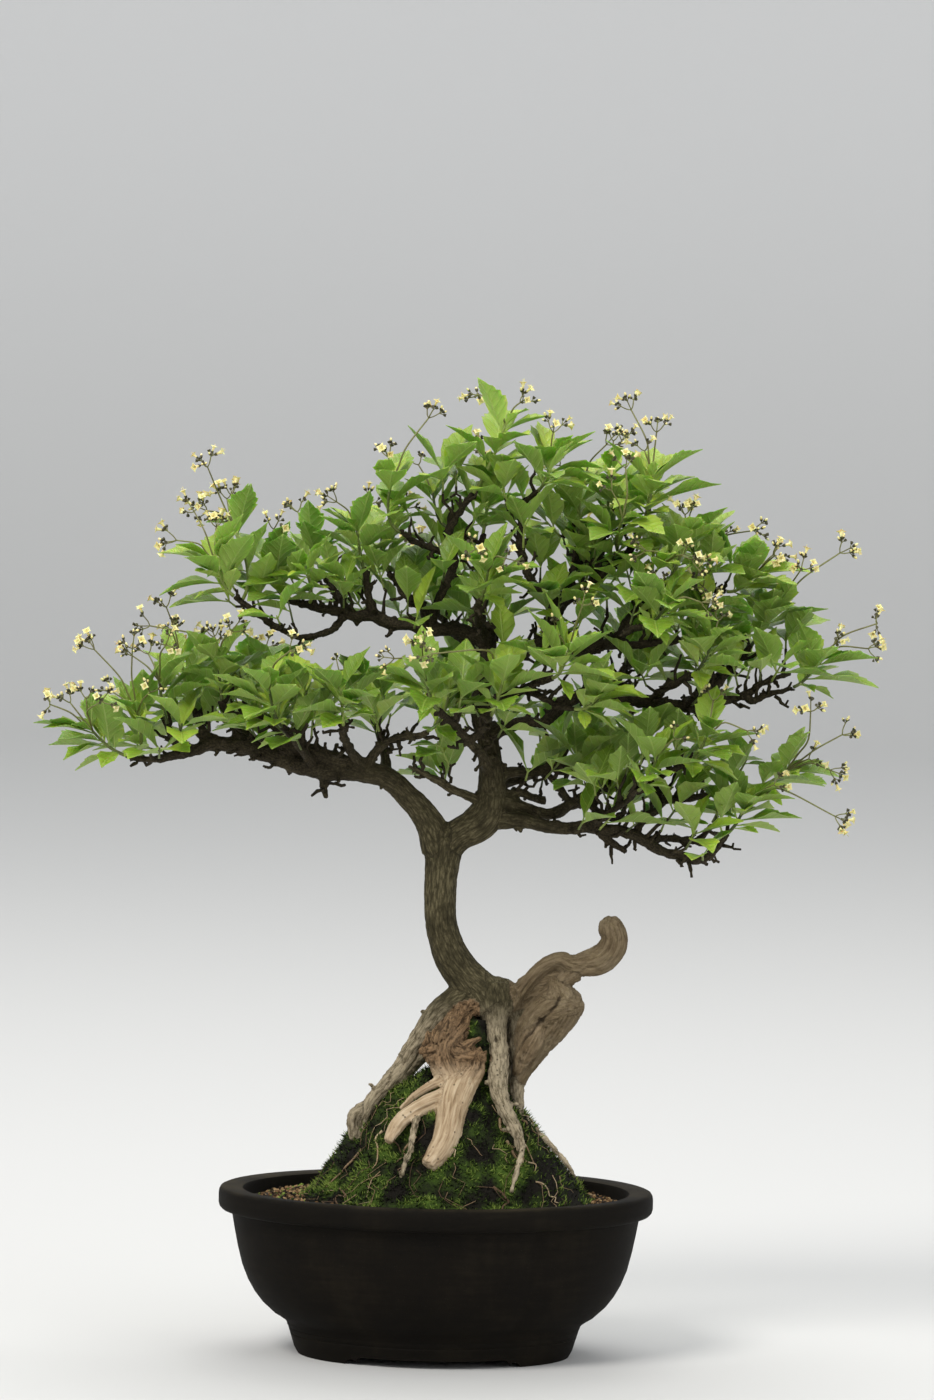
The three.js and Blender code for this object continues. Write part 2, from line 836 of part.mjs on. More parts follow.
// Vectors as plain lists
const plus = (a, b, k = 1) => [a[0] + b[0] * k, a[1] + b[1] * k, a[2] + b[2] * k];
const minus = (a, b) => [a[0] - b[0], a[1] - b[1], a[2] - b[2]];
const dot = (a, b) => a[0] * b[0] + a[1] * b[1] + a[2] * b[2];
const cross = (a, b) => [
  a[1] * b[2] - a[2] * b[1],
  a[2] * b[0] - a[0] * b[2],
  a[0] * b[1] - a[1] * b[0],
];
const span = (a) => Math.sqrt(a[0] * a[0] + a[1] * a[1] + a[2] * a[2]);
const unit = (a) => plus([0, 0, 0], a, 1 / span(a));
const radians = (degrees) => (degrees * Math.PI) / 180;

// A seeded draw between -1 and 1.
function draws(seed) {
  let state = seed;
  return () => {
    state = (state * 1664525 + 1013904223) % 4294967296;
    return (state / 4294967296) * 2 - 1;
  };
}

// A closed three.js geometry from rings of points, with both ends closed by fans, or by a point where a ring
// has only one.
function skin(rings) {
  const points = rings.flat();
  const starts = [];
  let count = 0;
  for (const ring of rings) {
    starts.push(count);
    count += ring.length;
  }
  const faces = [];
  rings.slice(1).forEach((ring, k) => {
    const below = rings[k];
    const sides = Math.max(ring.length, below.length);
    for (let i = 0; i < sides; i++) {
      const next = (i + 1) % sides;
      const a = starts[k] + (below.length > 1 ? i : 0);
      const b = starts[k] + (below.length > 1 ? next : 0);
      const c = starts[k + 1] + (ring.length > 1 ? next : 0);
      const d = starts[k + 1] + (ring.length > 1 ? i : 0);
      if (a !== b) faces.push(a, b, c);
      if (c !== d) faces.push(a, c, d);
    }
  });
  const last = rings.length - 1;
  for (let i = 1; i + 1 < rings[0].length; i++) faces.push(starts[0], starts[0] + i + 1, starts[0] + i);
  for (let i = 1; i + 1 < rings[last].length; i++) {
    faces.push(starts[last], starts[last] + i, starts[last] + i + 1);
  }
  return shell(points, faces);
}

function shell(points, faces) {
  const geometry = new THREE.BufferGeometry();
  geometry.setAttribute("position", new THREE.Float32BufferAttribute(points.flat(), 3));
  geometry.setIndex(faces);
  return geometry;
}

// A closed geometry as a solid whose faces point out.
function solid(geometry) {
  const bare = geometry.clone();
  bare.deleteAttribute("normal");
  bare.deleteAttribute("uv");
  const merged = mergeVertices(bare, 1e-4);
  const vertProperties = merged.attributes.position.array;
  const triVerts = new Uint32Array(merged.index.array);
  const corner = (i) => [0, 1, 2].map((k) => vertProperties[triVerts[i] * 3 + k]);
  let volume = 0;
  for (let i = 0; i < triVerts.length; i += 3) {
    const across = cross(corner(i + 1), corner(i + 2));
    volume += corner(i)[0] * across[0] + corner(i)[1] * across[1] + corner(i)[2] * across[2];
  }
  if (volume < 0) triVerts.reverse();
  return new wasm.Manifold(new wasm.Mesh({ numProp: 3, vertProperties, triVerts }));
}

const joined = (solids) => solids.reduce((all, one) => all.add(one));

// The largest body, without the scraps that a cut leaves.
function largest(shape) {
  return shape.decompose().reduce((best, one) => (one.volume() > best.volume() ? one : best));
}

function mesh(name, shape, colour, roughness) {
  const made = shape.getMesh();
  const geometry = new THREE.BufferGeometry();
  geometry.setAttribute("position", new THREE.BufferAttribute(made.vertProperties, 3));
  geometry.setIndex(new THREE.BufferAttribute(made.triVerts, 1));
  geometry.computeVertexNormals();
  const material = new THREE.MeshStandardMaterial({ color: colour, roughness, metalness: 0 });
  const piece = new THREE.Mesh(geometry, material);
  piece.name = name;
  return piece;
}

// A route without the points that lie within some distance of the line past them, radii counted alike.
function thinned(route, slack) {
  const kept = [route[0]];
  let from = 0;
  const fits = (to) =>
    route.slice(from + 1, to).every((point, k) => {
      const share = (k + 1) / (to - from);
      const line = route[from].map((value, i) => value + (route[to][i] - value) * share);
      return Math.hypot(...point.map((value, i) => value - line[i])) < slack;
    });
  for (let to = 2; to <= route.length; to++) {
    if (to < route.length && fits(to)) continue;
    kept.push(route[to - 1]);
    from = to - 1;
  }
  return kept;
}

// A round tube along a route, grown by some clearance.
function tube(whole, sides, grow = 0) {
  const route = thinned(whole, ROUTE_SLACK);
  const rings = [];
  let over = [0.31, 0.83, 0.46];
  route.forEach((point, i) => {
    const before = route[Math.max(i - 1, 0)];
    const after = route[Math.min(i + 1, route.length - 1)];
    const along = unit(minus(after, before));
    const aside = unit(cross(along, over));
    over = cross(aside, along);
    const end = i === 0 ? -grow : i === route.length - 1 ? grow : 0;
    const middle = plus(point, along, end);
    const ring = [];
    for (let k = 0; k < sides; k++) {
      const angle = (2 * Math.PI * k) / sides;
      const out = plus(plus([0, 0, 0], aside, Math.cos(angle)), over, Math.sin(angle));
      ring.push(plus(middle, out, point[3] + grow));
    }
    rings.push(ring);
  });
  return solid(skin(rings));
}

// Pot
function ovalPoint(angle, halfLength) {
  const fromEnd = Math.abs(Math.atan2(Math.sin(angle), Math.cos(angle)));
  const toLongAxis = Math.min(fromEnd, Math.PI - fromEnd);
  const side = Math.PI / 2 - CREASE_ANGLE;
  const share = toLongAxis < CREASE_ANGLE ? toLongAxis / CREASE_ANGLE : (Math.PI / 2 - toLongAxis) / side;
  const reach = halfLength * (1 - CREASE_DIP * share ** 4);
  return [reach * Math.cos(angle), reach * DEPTH_RATIO * Math.sin(angle)];
}

function ovalRing(halfLength, height, segments = POT_SEGMENTS) {
  const ring = [];
  for (let i = 0; i < segments; i++) {
    ring.push([...ovalPoint((2 * Math.PI * i) / segments, halfLength), height]);
  }
  return ring;
}

// The opening between two feet, with a small scallop at each end.
function arch(halfLength, reach) {
  const shape = new THREE.Shape();
  shape.moveTo(-halfLength, -1);
  shape.lineTo(-halfLength, 0);
  shape.lineTo(-halfLength + 3, 0.55 * ARCH_HEIGHT);
  shape.lineTo(-halfLength + 6, 0.4 * ARCH_HEIGHT);
  shape.lineTo(-halfLength + 11, ARCH_HEIGHT);
  shape.lineTo(halfLength - 11, ARCH_HEIGHT);
  shape.lineTo(halfLength - 6, 0.4 * ARCH_HEIGHT);
  shape.lineTo(halfLength - 3, 0.55 * ARCH_HEIGHT);
  shape.lineTo(halfLength, 0);
  shape.lineTo(halfLength, -1);
  const geometry = new THREE.ExtrudeGeometry(shape, { depth: 2 * reach, bevelEnabled: false });
  geometry.rotateX(Math.PI / 2);
  geometry.translate(0, reach, 0);
  return geometry;
}

function potShape() {
  const walls = [...WALL_OUTSIDE, ...RIM, ...WALL_INSIDE];
  let shape = solid(skin(walls.map(([halfLength, height]) => ovalRing(halfLength, height))));
  shape = shape.subtract(solid(skin([-1, FLOOR_UNDERSIDE].map((z) => ovalRing(FOOT_INSIDE, z, 24)))));
  shape = shape.subtract(solid(arch(LONG_ARCH, 100)));
  shape = shape.subtract(solid(arch(END_ARCH, 130).rotateZ(Math.PI / 2)));
  for (const side of [-1, 1]) {
    const drain = new THREE.CylinderGeometry(DRAIN_RADIUS, DRAIN_RADIUS, 3 * FLOOR_TOP, 16);
    drain.rotateX(Math.PI / 2).translate(side * DRAIN_PLACE, 0, FLOOR_TOP / 2);
    shape = shape.subtract(solid(drain));
  }
  return shape;
}

function screenShape(side) {
  const middle = [side * DRAIN_PLACE, 0, FLOOR_TOP + TOUCH + SCREEN_THICK / 2];
  let plate = solid(new THREE.BoxGeometry(SCREEN_SIDE, SCREEN_SIDE, SCREEN_THICK).translate(...middle));
  for (const column of [-1.5, -0.5, 0.5, 1.5]) {
    const slot = new THREE.BoxGeometry(SLOT_WIDTH, SLOT_LENGTH, 3 * SCREEN_THICK).translate(...middle);
    plate = plate.subtract(solid(slot.translate(column * SLOT_PITCH, 0, 0)));
  }
  return plate;
}

function soilShape() {
  const inside = WALL_INSIDE.slice(0, 4).reverse();
  const gap = 1.5 * TOUCH;
  const rings = inside.map(([halfLength, height]) => ovalRing(halfLength - gap, height));
  const [lip, wall] = [RIM[RIM.length - 1], WALL_INSIDE[0]];
  const rise = (SOIL_TOP - SOIL_DIP - wall[1]) / (lip[1] - wall[1]);
  const edge = wall[0] + (lip[0] - wall[0]) * rise - gap;
  const grit = (ring, height) =>
    ring.map(([x, y, z]) => [x, y, z + height * Math.sin(0.31 * x + 1.3) * Math.cos(0.47 * y)]);
  rings.push(grit(ovalRing(edge, SOIL_TOP - SOIL_DIP), 0.9));
  rings.push(grit(ovalRing(edge - 8, SOIL_TOP - 0.3), 0.7));
  rings.push(ovalRing(edge - 17, SOIL_TOP));
  return solid(skin(rings));
}

// The mound's height over the soil at a share of the way from its middle to its edge.
function moundRise(share, angle) {
  const slope = (1 - share * share) ** 1.2 + 0.1 * (1 - share);
  const cushions = 2.4 * Math.sin(5 * angle + 6 * share) + 1.8 * Math.sin(9 * angle - 11 * share);
  return MOUND_HEIGHT * slope + cushions * share * (1 - share) * 4;
}

function moundShape() {
  const floor = SOIL_TOP + TOUCH;
  const ringAt = (share, height) => {
    const ring = [];
    for (let i = 0; i < MOUND_SECTORS; i++) {
      const angle = (2 * Math.PI * i) / MOUND_SECTORS;
      const x = MOUND_CENTRE[0] + MOUND_HALF_LENGTH * share * Math.cos(angle);
      const y = MOUND_CENTRE[1] + MOUND_HALF_DEPTH * share * Math.sin(angle);
      ring.push([x, y, floor + height(angle)]);
    }
    return ring;
  };
  const rings = [ringAt(1, () => 0), ringAt(1.01, () => 3)];
  for (const share of MOUND_RINGS.slice(1)) rings.push(ringAt(share, (angle) => 3 + moundRise(share, angle)));
  rings.push([[MOUND_CENTRE[0], MOUND_CENTRE[1], floor + 3 + moundRise(0, 0)]]);
  return solid(skin(rings));
}

// Wood
function lump(centre, radii, grow = 0) {
  const geometry = new THREE.IcosahedronGeometry(1, 1);
  geometry.scale(radii[0] + grow, radii[1] + grow, radii[2] + grow);
  return solid(geometry.translate(...centre));
}

// Roots and dead wood, grown by some clearance, as the tree has them and as the mound has its holes.
function rootShapes(grow) {
  const shapes = [lump([35, 0, 217], [16, 12, 13], grow), lump([73, -6, 212], [13, 9, 13], grow)];
  for (const route of Object.values(ROOTS)) shapes.push(tube(route, 5, grow));
  for (const route of Object.values(DEAD_WOOD)) shapes.push(tube(route, 5, grow));
  for (const route of Object.values(RUNNERS)) shapes.push(tube(route, 4, grow));
  return shapes;
}

function woodShape() {
  const shapes = [tube(TRUNK, 8), ...rootShapes(0)];
  for (const name of Object.keys(LIMBS)) shapes.push(tube(woodRoute(name), 5));
  for (const name of Object.keys(BRANCHES)) shapes.push(tube(woodRoute(name), 4));
  return joined(shapes);
}

// Places taken by wood and blades, looked up by the cube they lie in.
class Room {
  constructor() {
    this.cells = new Map();
  }
  key(x, y, z) {
    return Math.floor(x / CELL) * 1000003 + Math.floor(y / CELL) * 1009 + Math.floor(z / CELL);
  }
  take(point, radius, owner, share, own = KIN_ROOM) {
    const key = this.key(...point);
    if (!this.cells.has(key)) this.cells.set(key, []);
    this.cells.get(key).push([point, radius, owner, share, own]);
  }
  // Whether a point keeps clear of all that is taken; near its stem a blade needs no room from its own spray.
  clear(point, owner, share, part = 1, inside = INNER_PART) {
    for (const dx of [-CELL, 0, CELL]) {
      for (const dy of [-CELL, 0, CELL]) {
        for (const dz of [-CELL, 0, CELL]) {
          const near = this.cells.get(this.key(point[0] + dx, point[1] + dy, point[2] + dz)) ?? [];
          for (const [place, radius, taker, reach, own] of near) {
            const inner = share < inside || reach < inside;
            const room = taker !== owner ? radius : inner ? 0 : own;
            if (span(minus(point, place)) < part * room) return false;
          }
        }
      }
    }
    return true;
  }
}

// A point and its radius at a share of the way through a route's list.
function pointAt(route, share) {
  const place = share * (route.length - 1);
  const index = Math.min(Math.floor(place), route.length - 2);
  const rest = place - index;
  return route[index].map((value, k) => value + (route[index + 1][k] - value) * rest);
}

// The wood of a limb or branch, which ends where the green shoot of its last spray starts.
function woodRoute(name) {
  const route = LIMBS[name] ?? BRANCHES[name];
  if (!SPRAYS.some(([wood, share]) => wood === name && share === 1)) return route;
  const [before, end] = route.slice(-2);
  const back = Math.min(SHOOT_START / span(minus(end, before)), 0.7);
  return [...route.slice(0, -1), end.map((value, k) => value + (before[k] - value) * back)];
}

// The stem of a spray: it leaves the wood straight and turns up to its tip.
function stemPoint(spray, share) {
  const a = (1 - share) * (1 - share);
  const b = 2 * share * (1 - share);
  const c = share * share;
  return [0, 1, 2].map((k) => spray.start[k] * a + spray.bend[k] * b + spray.tip[k] * c);
}

function makeStem([wood, share, tip, azimuth, leafLength, pairs, heads], index) {
  const route = woodRoute(wood);
  const place = pointAt(route, share);
  const axis = place.slice(0, 3);
  const last = Math.max(1, Math.ceil(share * (route.length - 1)));
  const along = unit(minus(route[last], route[last - 1]));
  const towards = minus(tip, axis);
  const leave = share === 1 ? along : unit(plus(towards, along, -dot(towards, along)));
  const start = plus(axis, leave, share === 1 ? TOUCH : place[3] + TOUCH);
  const bend = plus(start, leave, 0.4 * span(minus(tip, start)));
  return { index, start, bend, tip, azimuth, leafLength, pairs, heads, leaves: [], cymes: [] };
}

// The way a stem runs at a share of its length, and two directions square to it.
function stemFrame(spray, share) {
  const step = minus(stemPoint(spray, Math.min(share + 0.05, 1)), stemPoint(spray, Math.max(share - 0.05, 0)));
  const along = unit(step);
  const chord = unit(minus(spray.tip, spray.start));
  const facing = [Math.cos(radians(spray.azimuth)), Math.sin(radians(spray.azimuth)), 0.1];
  const square = plus(facing, chord, -dot(facing, chord));
  const aside = unit(plus(square, along, -dot(square, along)));
  return { along, aside, over: cross(along, aside) };
}

// A point of a leaf's midrib, with the directions across and over the blade there.
function ribPoint(leaf, share) {
  const rise = leaf.rise - leaf.droop * share;
  const out = (Math.sin(leaf.rise) - Math.sin(rise)) / leaf.droop;
  const up = (Math.cos(rise) - Math.cos(leaf.rise)) / leaf.droop;
  const heading = [Math.cos(leaf.azimuth), Math.sin(leaf.azimuth), 0];
  const place = plus(plus(leaf.base, heading, leaf.length * out), [0, 0, 1], leaf.length * up);
  const level = [-heading[1], heading[0], 0];
  const over = plus(plus([0, 0, 0], heading, -Math.sin(rise)), [0, 0, 1], Math.cos(rise));
  const across = plus(plus([0, 0, 0], level, Math.cos(leaf.roll)), over, Math.sin(leaf.roll));
  const above = plus(plus([0, 0, 0], over, Math.cos(leaf.roll)), level, -Math.sin(leaf.roll));
  return { place, across, above };
}

// A point of the blade at a share of its length, with its offset across as a share of its width.
function bladePoint(leaf, share, offset) {
  const { place, across, above } = ribPoint(leaf, share);
  const width = leaf.length * LEAF_WIDTH * offset;
  const flat = plus(place, across, width * Math.cos(LEAF_FOLD));
  return plus(flat, above, Math.abs(width) * Math.sin(LEAF_FOLD));
}

// Points spread over a blade, by which it keeps clear of others, each with its share of the length.
function bladeSpread(leaf) {
  const spread = [];
  for (const [share, half] of [[0.15, 0.12], [0.3, 0.29], [0.45, 0.45], [0.6, 0.47], [0.75, 0.3], [0.9, 0.1]]) {
    for (const part of [-1, -0.5, 0, 0.5, 1]) spread.push([bladePoint(leaf, share, half * part), share]);
  }
  spread.push([bladePoint(leaf, 1, 0), 1]);
  return spread;
}

function leafShare(spray, pair) {
  return STEM_FOOT + ((1 - STEM_FOOT) * (pair + 0.5)) / spray.pairs;
}

// A leaf stands out from its stem and leans forward along it, more so towards the tip, then arches over.
function drawLeaf(spray, pair, side, attempt, draw) {
  const share = leafShare(spray, pair);
  const height = (pair + 1) / spray.pairs;
  const { along, aside, over } = stemFrame(spray, share);
  const turn = radians(90 * pair + 180 * side + (9 + 4 * attempt) * draw());
  const lean = radians(30 + 20 * height + (8 + 2 * attempt) * draw());
  const out = plus(plus([0, 0, 0], aside, Math.cos(turn)), over, Math.sin(turn));
  const way = plus(plus([0, 0, 0], out, Math.cos(lean)), along, Math.sin(lean));
  return {
    pair,
    side,
    base: stemPoint(spray, share),
    azimuth: Math.atan2(way[1], way[0]),
    rise: Math.max(LOWEST_RISE, Math.min(HIGHEST_RISE, Math.asin(way[2]))),
    droop: radians(26 - 6 * height + 12 * draw()),
    roll: radians(15 * draw()),
    length: spray.leafLength * (1 - 0.16 * height + 0.08 * draw()) * (1 - 0.03 * attempt),
  };
}

function placeLeaves(sprays, room) {
  for (const spray of sprays) {
    const draw = draws(7919 + 104729 * spray.index);
    for (let pair = 0; pair < spray.pairs; pair++) {
      for (const side of [0, 1]) {
        for (let attempt = 0; attempt < TRIES; attempt++) {
          const leaf = drawLeaf(spray, pair, side, attempt, draw);
          const spread = bladeSpread(leaf);
          if (!spread.every(([point, share]) => room.clear(point, spray.index, share))) continue;
          for (const [point, share] of spread) room.take(point, LEAF_ROOM, spray.index, share);
          spray.leaves.push(leaf);
          break;
        }
      }
    }
  }
}

// A flower head on its stalk: the stalk bows from the spray's tip to a fork, where the flowers part.
function drawCyme(spray, head, attempt, draw) {
  const middle = plus(head, [3 * attempt * draw(), 3 * attempt * draw(), 2.5 * attempt]);
  const way = minus(middle, spray.tip);
  const reach = plus([0, 0, 0], unit(way), Math.max(span(way), SHORTEST_STALK));
  const fork = plus(spray.tip, reach, 1 - HEAD_HEIGHT / span(reach));
  const bow = plus(plus(spray.tip, reach, 0.28), stemFrame(spray, 1).along, 0.18 * span(reach));
  const axis = unit(minus(fork, bow));
  const aside = unit(cross(axis, [0.36, 0.48, 0.8]));
  const over = cross(axis, aside);
  const turn = Math.PI * draw();
  const flowers = [0, 1, 2].map((k) => {
    const angle = turn + (2 * Math.PI * k) / 3;
    const out = HEAD_SPREAD * (1 + 0.2 * draw());
    const flat = plus(plus(fork, aside, out * Math.cos(angle)), over, out * Math.sin(angle));
    return plus(flat, axis, HEAD_HEIGHT * (1 + 0.25 * draw()));
  });
  return { bow, fork, aside, over, turn, flowers };
}

function placeCymes(sprays, room) {
  for (const spray of sprays) {
    const draw = draws(15485863 + 32452843 * spray.index);
    for (const head of spray.heads) {
      for (let attempt = 0; attempt < TRIES; attempt++) {
        const cyme = drawCyme(spray, head, attempt, draw);
        const { bow, fork, flowers } = cyme;
        const spread = [bow, fork, ...flowers];
        for (const flower of flowers) spread.push(plus(fork, minus(flower, fork), 0.5));
        for (const part of [0.3, 0.5, 0.75]) {
          spread.push(plus(bow, minus(fork, bow), part), plus(spray.tip, minus(bow, spray.tip), part));
        }
        if (!spread.every((point) => room.clear(point, spray.index, 1, STALK_PART, 0.1))) continue;
        for (const point of spread) room.take(point, LEAF_ROOM, spray.index, 1);
        spray.cymes.push(cyme);
        break;
      }
    }
  }
}

// All sprays with their leaves and flower heads placed clear of each other and of the wood.
function growSprays() {
  const room = new Room();
  const routes = [TRUNK, ...[...Object.keys(LIMBS), ...Object.keys(BRANCHES)].map(woodRoute)];
  for (const route of routes) {
    const steps = 4 * (route.length - 1);
    for (let i = 0; i <= steps; i++) {
      const place = pointAt(route, i / steps);
      room.take(place.slice(0, 3), place[3] + WOOD_ROOM, "wood", 1);
    }
  }
  const sprays = SPRAYS.map(makeStem);
  for (const spray of sprays) {
    for (let i = 1; i <= 10; i++) room.take(stemPoint(spray, i / 10), WOOD_ROOM, spray.index, 1, STEM_ROOM);
  }
  placeLeaves(sprays, room);
  placeCymes(sprays, room);
  return sprays;
}

// A closed surface that grows by drawing its faces out, so that blades and stalks rise from a stem uncut.
class Growth {
  constructor() {
    this.points = [];
    this.faces = [];
  }
  add(places) {
    return places.map((place) => this.points.push(place) - 1);
  }
  close(...faces) {
    this.faces.push(...faces);
  }
  middle(face) {
    const sum = face.reduce((total, i) => plus(total, this.points[i]), [0, 0, 0]);
    return plus([0, 0, 0], sum, 1 / face.length);
  }
  // Draws a three-cornered face out to a ring of that many points and returns the face at its end.
  draw(face, places) {
    const ring = this.add(places);
    face.forEach((a, k) => {
      const next = (k + 1) % face.length;
      this.close([a, face[next], ring[next]], [a, ring[next], ring[k]]);
    });
    return ring;
  }
  // Raises a point over a face and returns the faces round it.
  part(face, place) {
    const [top] = this.add([place]);
    return face.map((a, k) => [a, face[(k + 1) % face.length], top]);
  }
}

// Three points round an axis, started at the turn that follows the ring before with the least twist.
function threeRound(middle, aside, over, angle, radius, before) {
  let best = null;
  let most = -Infinity;
  for (const shift of [0, 1, 2]) {
    const ring = [0, 1, 2].map((k) => {
      const turn = angle + (2 * Math.PI * (k + shift)) / 3;
      return plus(plus(middle, aside, radius * Math.cos(turn)), over, radius * Math.sin(turn));
    });
    const follow = ring.reduce((sum, point, k) => sum + dot(minus(point, middle), before[k]), 0);
    if (follow > most) {
      most = follow;
      best = ring;
    }
  }
  return best;
}

// A flat edge polygon of a blade as triangles between its rim and its midrib.
const bladeFan = (rib, rim, tip) => [
  [rib[0], rim[0], rim[1]],
  [rib[0], rim[1], rim[2]],
  [rib[0], rim[2], rib[1]],
  [rib[1], rim[2], rim[3]],
  [rib[1], rim[3], tip],
];

// A stem's face with its corners in the order of the blade's: low left, low right, high right and high left.
function facedCorners(growth, leaf, face) {
  const { across, above } = ribPoint(leaf, 0);
  const middle = growth.middle(face);
  const roles = [[-1, -1], [1, -1], [1, 1], [-1, 1]];
  const turned = (turn) => face.map((_, k) => face[(k + turn) % 4]);
  const fit = (corners) =>
    roles.reduce((sum, [right, up], k) => {
      const way = minus(growth.points[corners[k]], middle);
      return sum + right * dot(way, across) + up * dot(way, above);
    }, 0);
  return [0, 1, 2, 3].map(turned).reduce((one, other) => (fit(other) > fit(one) ? other : one));
}

// A blade drawn out of a four-cornered face of its stem: thick along its midrib, sharp at its toothed rim,
// with its upper and lower faces split alike.
function growBlade(growth, leaf, face) {
  const [low, lowNext, highNext, high] = facedCorners(growth, leaf, face);
  const half = LEAF_THICK / 2;
  const rim = [-1, 1].map((side) =>
    growth.add(LEAF_EDGE.map(([share, width]) => bladePoint(leaf, share, side * width))),
  );
  const [tip] = growth.add([bladePoint(leaf, 1, 0)]);
  const ribs = [half, -half].map((offset) =>
    growth.add(
      LEAF_RIB.map((share) => {
        const { place, above } = ribPoint(leaf, share);
        return plus(place, above, offset);
      }),
    ),
  );
  const [left, right] = rim;
  const [top, under] = ribs;
  growth.close(
    [low, lowNext, under[0]],
    [lowNext, highNext, right[0]],
    [highNext, high, top[0]],
    [high, low, left[0]],
    [right[0], highNext, top[0]],
    [under[0], lowNext, right[0]],
    [top[0], high, left[0]],
    [left[0], low, under[0]],
  );
  growth.close(...bladeFan(top, left, tip), ...bladeFan(under, right, tip));
  growth.close(...bladeFan(top, right, tip).map((face) => face.reverse()));
  growth.close(...bladeFan(under, left, tip).map((face) => face.reverse()));
}

// Spreads of a face's corners from its middle, square to a direction.
function cornerWays(growth, face, along) {
  const middle = growth.middle(face);
  return face.map((i) => {
    const way = minus(growth.points[i], middle);
    return unit(plus(way, along, -dot(way, along)));
  });
}

function growCyme(growth, { bow, fork, aside, over, turn, flowers }, face) {
  const foot = growth.middle(face);
  const ways = cornerWays(growth, face, unit(minus(bow, foot)));
  const waist = growth.draw(face, ways.map((way) => plus(bow, way, STALK_RADIUS)));
  const half = Math.PI / 3;
  const end = threeRound(fork, aside, over, turn - half, STALK_RADIUS, ways);
  const ring = growth.draw(waist, end);
  const axis = cross(aside, over);
  const top = plus(fork, axis, FORK_POINT);
  for (const arm of growth.part(ring, top)) {
    const out = growth.middle(arm);
    const side = minus(out, fork);
    const level = plus(side, axis, -dot(side, axis));
    const flower = flowers.reduce((a, b) => (dot(minus(a, fork), level) > dot(minus(b, fork), level) ? a : b));
    const along = unit(minus(flower, out));
    const mouth = plus(out, minus(flower, out), FLOWER_WAIST);
    const calyx = growth.draw(arm, cornerWays(growth, arm, along).map((way) => plus(mouth, way, FLOWER_RADIUS)));
    growth.close(...growth.part(calyx, flower));
  }
}

// A leafy shoot as one surface: its four-sided stem, a blade from each side face that bears one, and the
// stalks of its flower heads from the faces of its tip.
function sprayShape(spray) {
  const growth = new Growth();
  const shares = [0];
  for (let i = 0; i <= spray.pairs; i++) shares.push(STEM_FOOT + ((1 - STEM_FOOT) * i) / spray.pairs);
  const rings = shares.map((share) => {
    const { aside, over } = stemFrame(spray, share);
    const radius = STEM_RADIUS * (1 - STEM_TAPER * share);
    const corner = (k) => {
      const turn = (Math.PI / 2) * (k - 0.5);
      return plus(plus(stemPoint(spray, share), aside, radius * Math.cos(turn)), over, radius * Math.sin(turn));
    };
    return growth.add([0, 1, 2, 3].map(corner));
  });
  rings.slice(1).forEach((ring, level) => {
    const below = rings[level];
    for (let k = 0; k < 4; k++) {
      const next = (k + 1) % 4;
      const face = [below[k], below[next], ring[next], ring[k]];
      const leaf = spray.leaves.find((one) => one.pair === level - 1 && (one.pair + 2 * one.side) % 4 === k);
      if (leaf) growBlade(growth, leaf, face);
      else growth.close([face[0], face[1], face[2]], [face[0], face[2], face[3]]);
    }
  });
  const foot = rings[0];
  growth.close([foot[0], foot[2], foot[1]], [foot[0], foot[3], foot[2]]);
  const [a, b, c, d] = rings[rings.length - 1];
  const { along } = stemFrame(spray, 1);
  const flat = [[a, b, c], [a, c, d]];
  let free = spray.cymes.length < 2 ? flat : growth.part([a, b, c, d], plus(spray.tip, along, FORK_POINT));
  for (const cyme of spray.cymes) {
    const fit = (face) => dot(minus(growth.middle(face), spray.tip), minus(cyme.bow, spray.tip));
    const best = free.reduce((one, other) => (fit(one) > fit(other) ? one : other));
    free = free.filter((face) => face !== best);
    growCyme(growth, cyme, best);
  }
  growth.close(...free);
  return solid(shell(growth.points, growth.faces.flat()));
}

const bonsai = new THREE.Group();
bonsai.add(mesh("pot", potShape(), 0x2b2620, 0.7));
bonsai.add(mesh("drain_screen_left", screenShape(-1), 0x151515, 0.6));
bonsai.add(mesh("drain_screen_right", screenShape(1), 0x151515, 0.6));
bonsai.add(mesh("soil", soilShape(), 0x5a3d28, 0.95));
bonsai.add(mesh("moss_mound", largest(moundShape().subtract(joined(rootShapes(TOUCH)))), 0x3c4f1d, 0.95));
bonsai.add(mesh("trunk_and_roots", woodShape(), 0x4a3d2e, 0.85));
growSprays().forEach((spray, i) => {
  const number = String(i + 1).padStart(2, "0");
  bonsai.add(mesh("spray_" + number, sprayShape(spray), 0x6f9a2c, 0.45));
});

// The origin lies under the middle of the whole piece.
const whole = new THREE.Box3().setFromObject(bonsai);
for (const piece of bonsai.children) {
  piece.position.set(-(whole.min.x + whole.max.x) / 2, -(whole.min.y + whole.max.y) / 2, -whole.min.z);
}

export default bonsai;
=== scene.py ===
"""The finished look of a Japanese premna bonsai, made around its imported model.

Routes and sprays are in millimetres in the pot's own frame: +Z is up and the front of the tree looks
along -Y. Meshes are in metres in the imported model's frame. The sprays grow by the same seeded rule as in
the part's source, so that each finer spray keeps the form of the solid that it stands for.
"""

import itertools
import math
from dataclasses import dataclass, field

import bpy
import numpy as np
from mathutils import Matrix, Vector, noise
from mathutils.kdtree import KDTree


